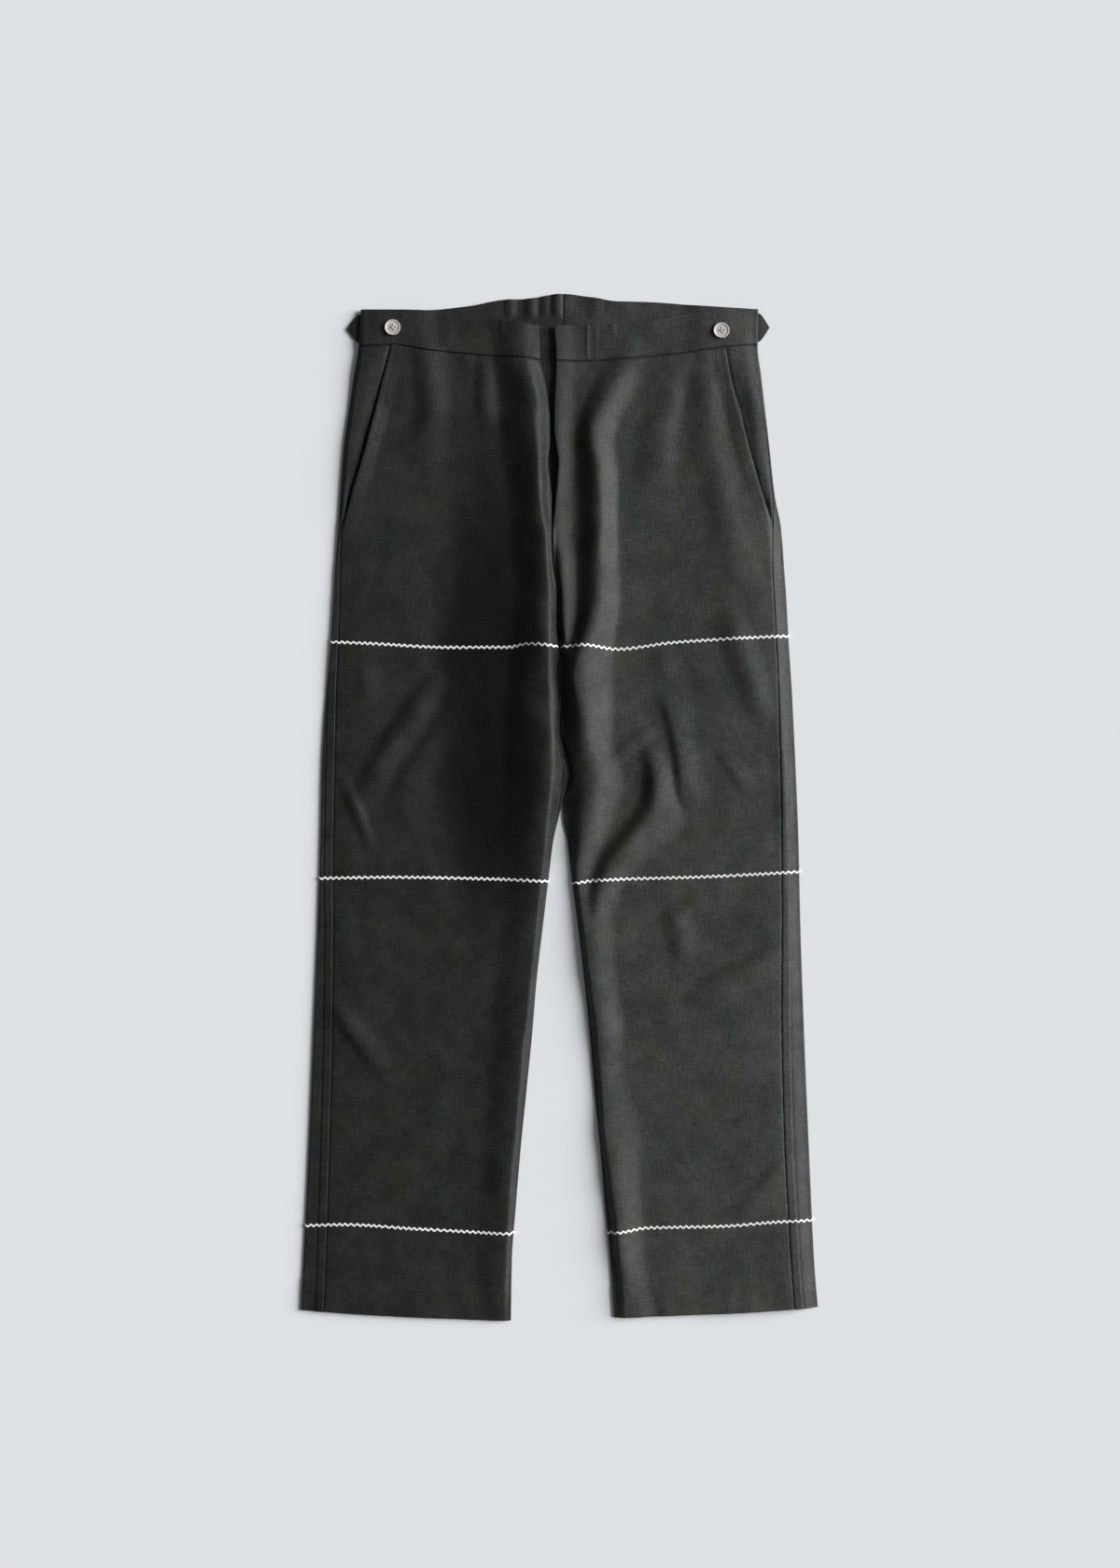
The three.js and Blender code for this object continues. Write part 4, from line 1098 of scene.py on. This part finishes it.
# many copies of one small rounded shape, joined: each has a middle and a direction
def beadRow(name, middles, alongs, length, thick, flatness=1.0):
    bm = bmesh.new()
    bmesh.ops.create_uvsphere(bm, u_segments=6, v_segments=6, radius=0.5)
    bmesh.ops.triangulate(bm, faces=bm.faces[:])
    bm.verts.index_update()
    shape = np.array([v.co for v in bm.verts])
    corners = np.array([[v.index for v in f.verts] for f in bm.faces])
    bm.free()
    alongs = unit(np.array(alongs))
    sideways = unit(np.cross([0, 0, 1.0], alongs))
    upwards = np.cross(alongs, sideways)
    verts = (
        np.array(middles)[:, None]
        + shape[None, :, 2:3] * length * alongs[:, None]
        + shape[None, :, 0:1] * thick * sideways[:, None]
        + shape[None, :, 1:2] * thick * flatness * upwards[:, None]
    )
    faces = corners[None] + len(shape) * np.arange(len(middles))[:, None, None]
    mesh = bpy.data.meshes.new(name)
    mesh.from_pydata((verts.reshape(-1, 3) * mm).tolist(), [], faces.reshape(-1, 3).tolist())
    mesh.update()
    return finishPiece(name, mesh, sharpAngle=80)


def makeButtonThread(leg, place):
    centre = np.array(place.translation) / mm
    middles, alongs = [], []
    for pair in range(2):
        angle = pair * math.pi / 2 + buttons["turn"]
        run = np.array([math.cos(angle), math.sin(angle), 0])
        across = np.array([-math.sin(angle), math.cos(angle), 0])
        height = buttons["face"] + buttons["threadRise"] + buttons["threadCross"] * pair
        for side in (-1, 1):
            middles.append(centre + across * side * buttons["strandApart"] + [0, 0, height])
            alongs.append(run)
    length = 2 * buttons["holeRing"] - buttons["threadInset"]
    return beadRow("buttonThread" + leg.name, middles, alongs, length, buttons["thread"])


buttonPieces, threadPieces = {}, {}
for leg in legs:
    buttonPieces[leg.name], buttonPlace = makeButton(leg)
    threadPieces[leg.name] = makeButtonThread(leg, buttonPlace)
print("buttons made")

# white wavy braid, sewn flat across each leg
braid = {
    "width": 1.9,
    "thick": 0.85,
    "rest": 0.42,
    "pitch": 5.85,
    "pitchChange": 0.35,
    "pitchChangeSize": (23, 1),
    "swing": 0.92,
    "swingChange": 0.35,
    "swingChangeSize": (17, 1),
    "pointed": 0.1,
    "step": 0.36,
    "sides": 12,
    "wrap": 1.3,
    "endShare": 0.35,
    "endSteps": 2,
    "flatWidth": 6,
}


def braidPath(leg, name):
    line = braidLines[name]
    start = float(line(leg.outer(0)))
    flat = leg.inward * float(leg.inner(start) - leg.outer(start)) - 2 * cut["foldRadius"]
    outerWrap = braid["wrap"] + quarterFold
    innerWrap = 0 if name == "thigh" else outerWrap
    total = outerWrap + flat + innerWrap
    run = np.arange(0, total, braid["step"])
    fromOuter = run - braid["wrap"]
    fromInner = total - run - innerWrap + quarterFold
    change = unevenness(run, 0, braid["pitchChangeSize"], "pitch" + leg.name)
    phase = 2 * np.pi * (run / braid["pitch"] + braid["pitchChange"] * change)
    wave = np.sin(phase) - braid["pointed"] * np.sin(3 * phase)
    change = unevenness(run, 0, braid["swingChangeSize"], "swing")
    wave = braid["swing"] * (1 + braid["swingChange"] * change) * wave
    useOuter = run < total / 2
    y = start + 0 * run
    for _ in range(4):
        edgeOuter, edgeInner = leg.outer(y), leg.inner(y)
        outerX = foldX(edgeOuter, leg.inward, fromOuter, 1)
        x = np.where(useOuter, outerX, foldX(edgeInner, -leg.inward, fromInner, 1))
        y = line(x) + wave
    top = lambda x, y: topHeight(leg, x, y) + hemRelief(x, y)
    outerZ = foldPoint(edgeOuter, leg.inward, fromOuter, 1, y, top, tabLift)[1]
    innerZ = foldPoint(edgeInner, -leg.inward, fromInner, 1, y, top, tabLift)[1]
    return np.column_stack([x, y, np.where(useOuter, outerZ, innerZ)]), run


def makeBraid(leg, name):
    path, run = braidPath(leg, name)
    tangent = unit(np.gradient(path, axis=0))
    outward = unit(np.cross(tangent * [1, 0, 1], [0, leg.inward, 0]))
    across = unit(np.cross(outward, tangent))
    middle = path + outward * braid["thick"] * braid["rest"]

    def place(u, v):
        i = np.clip(np.round(v * (len(run) - 1)).astype(int), 0, len(run) - 1)
        angle = 2 * np.pi * u
        fromEnd = np.minimum(i, len(run) - 1 - i)
        narrow = np.minimum(1, braid["endShare"] + fromEnd / braid["endSteps"])
        side = np.cos(angle) * braid["width"] / 2 * narrow
        up = np.sin(angle) * braid["thick"] / 2 * narrow
        spot = middle[i] + across[i] * side[:, None] + outward[i] * up[:, None]
        return spot[:, 0], spot[:, 1], spot[:, 2], u * braid["flatWidth"], run[i]

    pieceName = "braid" + name.capitalize() + leg.name
    mesh = laidGrid(pieceName, braid["sides"], len(run) - 1, place, False)
    bm = bmesh.new()
    bm.from_mesh(mesh)
    bmesh.ops.remove_doubles(bm, verts=bm.verts[:], dist=mergeReach)
    bmesh.ops.holes_fill(bm, edges=[e for e in bm.edges if e.is_boundary], sides=0)
    bmesh.ops.recalc_face_normals(bm, faces=bm.faces[:])
    bm.to_mesh(mesh)
    bm.free()
    return finishPiece(pieceName, mesh, sharpAngle=80)


braids = {(leg.name, name): makeBraid(leg, name) for leg in legs for name in braidLines}
print("braids sewn on")

# stitches, small dark beads of thread along the seams
stitch = {
    "length": 2.3,
    "pitch": 3.1,
    "thick": 0.36,
    "flatness": 0.8,
    "sink": 0.1,
    "aim": 0.6,
    "belowWaist": 10,
    "fromMouth": 6.5,
    "mouthStep": 1.0,
    "sideFrom": 266,
    "sideTo": -478,
    "sideStep": 1.5,
    "sideSink": 0.25,
    "sideShown": -1,
    "hemLevel": -480,
    "hemInset": 3,
    "hemPoints": 160,
    "hemSink": 0.1,
    "tackPoints": 9,
    "tackAbove": 4,
    "tackInset": 0.8,
    "tackRun": (6, -1),
    "flyTack": ((-6.6, 274.5), (-1.4, 274.2)),
}


# stitches along each line of points (x, y, z)
def stitchRow(name, lines):
    middles, alongs = [], []
    for points in lines:
        steps = np.linalg.norm(np.diff(points, axis=0), axis=1)
        run = np.concatenate([[0], np.cumsum(steps)])
        at = np.arange(stitch["pitch"] / 2, run[-1], stitch["pitch"])
        read = lambda place: np.column_stack([np.interp(place, run, row) for row in points.T])
        middles.append(read(at) - [0, 0, stitch["sink"]])
        alongs.append(read(at + stitch["aim"]) - read(at - stitch["aim"]))
    return beadRow(
        name, np.concatenate(middles), np.concatenate(alongs), stitch["length"], stitch["thick"],
        stitch["flatness"],
    )


# a line on a front, from its own height
def onFront(leg, x, y):
    return np.column_stack([x, y, frontHeight(leg, x, y)])


# a dense bar of thread where the fly closes, and at the foot of each pocket mouth
def barTack(leg, fromPoint, toPoint):
    return onFront(leg, *np.linspace(fromPoint, toPoint, stitch["tackPoints"]).T)


stitchPieces = {}
for leg in legs:
    mouthTop = cut["waistSeam"] - stitch["belowWaist"]
    levels = np.arange(mouthTop, cut["pocketEnd"], -stitch["mouthStep"])
    mouthLine = onFront(leg, leg.mouth(levels) + leg.inward * stitch["fromMouth"], levels)
    down = np.arange(stitch["sideFrom"], stitch["sideTo"], -stitch["sideStep"])
    length = insetLength(leg.outseam(down)) - backPanel["topstitch"]
    top = lambda x, y: topHeight(leg, x, y)
    sideX, sideZ = foldPoint(leg.outer(down), leg.inward, length, 1, down, top, top)
    sideLine = np.column_stack([sideX, down, sideZ - stitch["sideSink"]])
    hemStart = float(leg.outer(stitch["hemLevel"])) + leg.inward * stitch["hemInset"]
    hemEnd = float(leg.inner(stitch["hemLevel"])) - leg.inward * stitch["hemInset"]
    across = np.linspace(hemStart, hemEnd, stitch["hemPoints"])
    hemStitches = onFront(leg, across, hemLine(across) + cut["hemDepth"])
    foot = cut["pocketEnd"] + stitch["tackAbove"]
    tackX = float(leg.mouth(foot)) + leg.inward * stitch["tackInset"]
    tackLength, tackFall = stitch["tackRun"]
    lines = [
        mouthLine,
        sideLine[length > stitch["sideShown"]],
        hemStitches - [0, 0, stitch["hemSink"]],
        barTack(leg, (tackX, foot), (tackX + leg.inward * tackLength, foot + tackFall)),
    ]
    if leg is left:
        lines.append(barTack(leg, *stitch["flyTack"]))
    stitchPieces[leg.name] = stitchRow("stitches" + leg.name, lines)
print("stitches sewn")


# materials: each of a node's sockets gets a value, or the socket that feeds it
def feed(tree, node, sockets):
    for name, value in sockets.items():
        if isinstance(value, bpy.types.NodeSocket):
            tree.links.new(value, node.inputs[name])
        else:
            node.inputs[name].default_value = value


def addNode(tree, kind, place, sockets={}, **settings):
    node = tree.nodes.new(kind if kind.startswith("NodeGroup") else "ShaderNode" + kind)
    node.location = place
    for name, value in settings.items():
        setattr(node, name, value)
    feed(tree, node, sockets)
    return node


def addMath(tree, operation, place, *values):
    sockets = dict(enumerate(values))
    return addNode(tree, "Math", place, sockets, operation=operation).outputs[0]


# a value's range, from two ends to two others
def addRange(tree, place, *values, **settings):
    return addNode(tree, "MapRange", place, dict(enumerate(values)), **settings).outputs[0]


def addNoise(tree, place, vector, scale, sockets={}, **settings):
    sockets = {"Vector": vector, "Scale": scale, **sockets}
    return addNode(tree, "TexNoise", place, sockets, **settings).outputs[0]


def addRamp(tree, place, factor, colours):
    node = addNode(tree, "ValToRGB", place, {0: factor})
    steps = node.color_ramp.elements
    steps[0].position, steps[0].color = colours[0]
    steps[1].position, steps[1].color = colours[-1]
    for position, colour in colours[1:-1]:
        steps.new(position).color = colour
    return node.outputs[0]


def mixColours(tree, place, factor, one, other):
    sockets = {0: factor, 6: one, 7: other}
    return addNode(tree, "Mix", place, sockets, data_type="RGBA").outputs[2]


def addBump(tree, settings, height):
    sockets = {"Strength": settings["bump"], "Distance": settings["bumpDepth"], "Height": height}
    return addNode(tree, "Bump", (-400, -200), sockets).outputs[0]


# fine threads on a piece's own UV map: a height, and flecks of lighter yarn along both threads
weave = {
    "inputs": {"Ribs per metre": 1100, "Flecks per metre": 700, "Lean": 1.0},
    "stretch": 0.16,
    "flecksFrom": 0.72,
    "flecksTo": 1.28,
    "ribShare": 0.35,
}


def makeWeaveGroup():
    group = bpy.data.node_groups.new("fineTwill", "ShaderNodeTree")
    addSocket = group.interface.new_socket
    for name, value in weave["inputs"].items():
        socket = addSocket(name, in_out="INPUT", socket_type="NodeSocketFloat")
        socket.default_value = value
    for name in ("Height", "Flecks"):
        addSocket(name, in_out="OUTPUT", socket_type="NodeSocketFloat")
    given = addNode(group, "NodeGroupInput", (-1100, 0)).outputs
    uv = addNode(group, "UVMap", (-1100, -300), uv_map="UVMap").outputs[0]
    across, down, _ = addNode(group, "SeparateXYZ", (-900, -100), {0: uv}).outputs
    leaning = addMath(group, "MULTIPLY", (-700, -60), down, given["Lean"])
    total = addMath(group, "ADD", (-520, -60), across, leaning)
    turns = addMath(group, "MULTIPLY", (-340, 0), total, given["Ribs per metre"])
    angle = addMath(group, "MULTIPLY", (-160, 0), turns, 2 * math.pi)
    rib = addMath(group, "SINE", (20, 0), angle)
    yarns = []
    thin = weave["stretch"]
    for row, stretch in enumerate(((1, thin, 1), (thin, 1, 1))):  # warp, then weft
        height = -300 - 260 * row
        squeeze = addNode(group, "Mapping", (-700, height), {"Vector": uv, "Scale": stretch})
        yarns.append(addNoise(
            group, (-400, height), squeeze.outputs[0], given["Flecks per metre"],
            {"Detail": 3, "Roughness": 0.6}, noise_dimensions="2D",
        ))
    both = addMath(group, "ADD", (-160, -400), *yarns)
    flecks = addRange(group, (60, -360), both, weave["flecksFrom"], weave["flecksTo"])
    height = addMath(group, "MULTIPLY_ADD", (420, -60), rib, weave["ribShare"], flecks)
    addNode(group, "NodeGroupOutput", (900, 0), {"Height": height, "Flecks": flecks})
    return group


weaveGroup = makeWeaveGroup()


def startMaterial(name, roughness, specular):
    material = bpy.data.materials.new(name)
    material.use_nodes = True
    tree = material.node_tree
    shader = tree.nodes["Principled BSDF"]
    feed(tree, shader, {"Roughness": roughness, "Specular IOR Level": specular})
    return material, tree, shader


cloth = {
    "base": (0.0166, 0.0172, 0.0154, 1),
    "green": (0.0132, 0.0181, 0.0164, 1),
    "violet": (0.0215, 0.0196, 0.0218, 1),
    "brown": (0.0195, 0.0192, 0.0130, 1),
    "fleck": (0.0540, 0.0550, 0.0530, 1),
    "tints": {"green": 0.34, "base": 0.46, "violet": 0.56, "brown": 0.66},
    "flecks": 0.4,
    "roughness": 0.5,
    "specular": 0.2,
    "sheenTint": (0.97, 1, 0.98, 1),
    "blotchesPerMetre": 21,
    "mottlesPerMetre": 48,
    "mottle": (0.3, 0.7, 0.78, 1.22),
    "ribsPerMetre": 1050,
    "flecksPerMetre": 560,
    "bump": 0.6,
    "bumpDepth": 0.0002,
    # painted light and shade: the colour's value ramps from the right leg to the left, as the light
    # falls from +X
    "legTones": (-0.02, 0.06, 0.78, 1.6),
    "darkPlace": (-0.078, 0.10, 0),
    "darkReach": (0.064, 0.27, 0.2),
    "darkness": (0, 0.55, 1, 0.24),
}


def makeClothMaterial():
    material, tree, shader = startMaterial("charcoalTwill", cloth["roughness"], cloth["specular"])
    spot = addNode(tree, "TexCoord", (-1300, 300)).outputs["Object"]
    twill = addNode(tree, "Group", (-1100, -100), node_tree=weaveGroup)
    feed(tree, twill, {
        "Ribs per metre": cloth["ribsPerMetre"], "Flecks per metre": cloth["flecksPerMetre"],
    })
    blotch = addNoise(tree, (-1100, 350), spot, cloth["blotchesPerMetre"], {"Detail": 3})
    tints = [(position, cloth[name]) for name, position in cloth["tints"].items()]
    tint = addRamp(tree, (-850, 350), blotch, tints)
    amount = addMath(tree, "MULTIPLY", (-600, 100), twill.outputs["Flecks"], cloth["flecks"])
    yarn = mixColours(tree, (-400, 250), amount, tint, cloth["fleck"])
    # the colour is painted paler on the left leg and darker on the right, painted light and shade
    # for the light falling from the +X side, and both legs are also softly mottled
    fromLeft = addNode(tree, "SeparateXYZ", (-1100, 620), {0: spot}).outputs[0]
    paintedSideLight = addRange(tree, (-850, 620), fromLeft, *cloth["legTones"])
    mottle = addNoise(tree, (-1100, 850), spot, cloth["mottlesPerMetre"], {"Detail": 3})
    patch = addRange(tree, (-850, 850), mottle, *cloth["mottle"])
    # painted light across the legs, times the random mottle
    paintedLightAndMottle = addMath(tree, "MULTIPLY", (-600, 700), paintedSideLight, patch)
    # shade painted inside the right thigh, where it is deeper than the folds' own shading
    sockets = {"Vector": spot, "Location": cloth["darkPlace"], "Scale": cloth["darkReach"]}
    around = addNode(tree, "Mapping", (-1100, 1100), vector_type="TEXTURE")
    feed(tree, around, sockets)
    nearness = addNode(
        tree, "TexGradient", (-850, 1100), {0: around.outputs[0]}, gradient_type="SPHERICAL"
    ).outputs["Fac"]
    darker = addRange(
        tree, (-600, 1100), nearness, *cloth["darkness"], interpolation_type="SMOOTHSTEP"
    )
    value = addMath(tree, "MULTIPLY", (-400, 900), paintedLightAndMottle, darker)
    shaded = addNode(tree, "HueSaturation", (-200, 350), {"Value": value, "Color": yarn})
    feed(tree, shader, {
        "Specular Tint": cloth["sheenTint"],
        "Base Color": shaded.outputs[0],
        "Normal": addBump(tree, cloth, twill.outputs["Height"]),
    })
    return material


whiteBraid = {
    "base": (0.93, 0.93, 0.91, 1),
    "shade": (0.80, 0.79, 0.76, 1),
    "roughness": 0.75,
    "specular": 0.3,
    "ribsPerMetre": 1600,
    "lean": 0.7,
    "bump": 0.5,
    "bumpDepth": 0.00015,
}


def makeBraidMaterial():
    material, tree, shader = startMaterial(
        "whiteBraid", whiteBraid["roughness"], whiteBraid["specular"]
    )
    woven = addNode(tree, "Group", (-900, 0), node_tree=weaveGroup)
    feed(tree, woven, {"Ribs per metre": whiteBraid["ribsPerMetre"], "Lean": whiteBraid["lean"]})
    flecks, height = woven.outputs["Flecks"], woven.outputs["Height"]
    feed(tree, shader, {
        "Base Color": mixColours(
            tree, (-500, 150), flecks, whiteBraid["base"], whiteBraid["shade"]
        ),
        "Normal": addBump(tree, whiteBraid, height),
    })
    return material


shell = {
    "tints": [(0.35, (0.44, 0.41, 0.385, 1)), (0.6, (0.56, 0.54, 0.52, 1))],
    "roughness": 0.45,
    "specular": 0.5,
    "coat": 0.15,
    "coatRoughness": 0.3,
    "cloudsPerMetre": 170,
    "swirl": 1.2,
}


def makeButtonMaterial():
    material, tree, shader = startMaterial("greyShell", shell["roughness"], shell["specular"])
    spot = addNode(tree, "TexCoord", (-1000, 100)).outputs["Object"]
    swirl = {"Distortion": shell["swirl"]}
    cloud = addNoise(tree, (-800, 100), spot, shell["cloudsPerMetre"], swirl)
    feed(tree, shader, {
        "Coat Weight": shell["coat"],
        "Coat Roughness": shell["coatRoughness"],
        "Base Color": addRamp(tree, (-600, 100), cloud, shell["tints"]),
    })
    return material


threads = {
    "fibresPerMetre": 1500,
    "specular": 0.3,
    "pinkThread": ((0.50, 0.42, 0.41, 1), (0.66, 0.58, 0.57, 1), 0.7),
    "darkThread": ((0.010, 0.010, 0.009, 1), (0.030, 0.030, 0.028, 1), 0.5),
}


def makeThreadMaterial(name):
    low, high, roughness = threads[name]
    material, tree, shader = startMaterial(name, roughness, threads["specular"])
    spot = addNode(tree, "TexCoord", (-1000, 100)).outputs["Object"]
    fibre = addNoise(tree, (-800, 100), spot, threads["fibresPerMetre"])
    feed(tree, shader, {"Base Color": mixColours(tree, (-500, 100), fibre, low, high)})
    return material


clothMaterial = makeClothMaterial()
braidMaterial = makeBraidMaterial()
buttonMaterial = makeButtonMaterial()
pinkThread = makeThreadMaterial("pinkThread")
darkThread = makeThreadMaterial("darkThread")
print("materials made")


# every piece rides on the garment's one body, and a piece given a node hides the plain solid it
# stands for
def dress(piece, material, node=None):
    piece.data.materials.clear()
    piece.data.materials.append(material)
    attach(piece, "root")
    if node:
        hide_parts(node)


for leg in legs:
    side = leg.name
    small = side.lower()
    for pieces, node in (
        (fronts, "_front"), (backs, "_back"), (frontBands, "_front_waistband"),
        (backBands, "_back_waistband"), (facings, "_pocket_facing"), (tabPieces, "_tab"),
    ):
        dress(pieces[side], clothMaterial, small + node)
    dress(buttonPieces[side], buttonMaterial, small + "_button")
    dress(threadPieces[side], pinkThread)
    dress(stitchPieces[side], darkThread)
    for name in braidLines:
        dress(braids[side, name], braidMaterial, "braid_" + name + "_" + small)
dress(flyPiece, clothMaterial, "fly_shield")


for leg in legs:
    side = leg.name

# pale floor, soft light from the right and a camera straight above
studio = {
    "floorSize": 8.0,
    "floorColour": (0.80, 0.825, 0.845, 1),
    "floorRoughness": 0.9,
    "sunStrength": 5.85,
    "sunElevation": 25,
    "sunTowardsWaist": 12,
    "sunAngle": 40,
    "fill": 0.13,
    "cameraX": 0.0005,
    "cameraY": 0.0236,
    "cameraHeight": 2.2,
    "shownHeight": 1.586,
    "sensor": 36,
    "clipEnd": 20,
    "skyColour": (0.97, 0.99, 1, 1),
}


def makeFloor():
    bm = bmesh.new()
    bmesh.ops.create_grid(bm, x_segments=1, y_segments=1, size=studio["floorSize"] / 2)
    floor = linkPiece("floor", takeMesh(bm, "floor"))
    material, tree, shader = startMaterial("paleFloor", studio["floorRoughness"], 0.0)
    feed(tree, shader, {"Base Color": studio["floorColour"]})
    floor.data.materials.append(material)


def makeLight():
    lamp = bpy.data.lights.new("softKey", "SUN")
    lamp.energy = studio["sunStrength"]
    lamp.angle = math.radians(studio["sunAngle"])
    key = bpy.data.objects.new("softKey", lamp)
    up, turn = math.radians(studio["sunElevation"]), math.radians(studio["sunTowardsWaist"])
    towards = Vector((math.cos(up) * math.cos(turn), math.cos(up) * math.sin(turn), math.sin(up)))
    key.rotation_euler = towards.to_track_quat("Z", "Y").to_euler()
    bpy.context.scene.collection.objects.link(key)
    world = bpy.data.worlds.new("softRoom")
    world.use_nodes = True
    sky = world.node_tree.nodes["Background"]
    feed(world.node_tree, sky, {"Color": studio["skyColour"], "Strength": studio["fill"]})
    bpy.context.scene.world = world


def makeCamera():
    lens = bpy.data.cameras.new("overhead")
    lens.sensor_fit = "VERTICAL"
    lens.sensor_height = studio["sensor"]
    lens.lens = studio["sensor"] * studio["cameraHeight"] / studio["shownHeight"]
    lens.clip_end = studio["clipEnd"]
    camera = bpy.data.objects.new("overhead", lens)
    camera.location = (studio["cameraX"], studio["cameraY"], studio["cameraHeight"])
    bpy.context.scene.collection.objects.link(camera)
    bpy.context.scene.camera = camera


makeFloor()
makeLight()
makeCamera()
bpy.context.scene.view_settings.view_transform = "Standard"
print("floor, light and camera set")

bpy.context.view_layer.update()
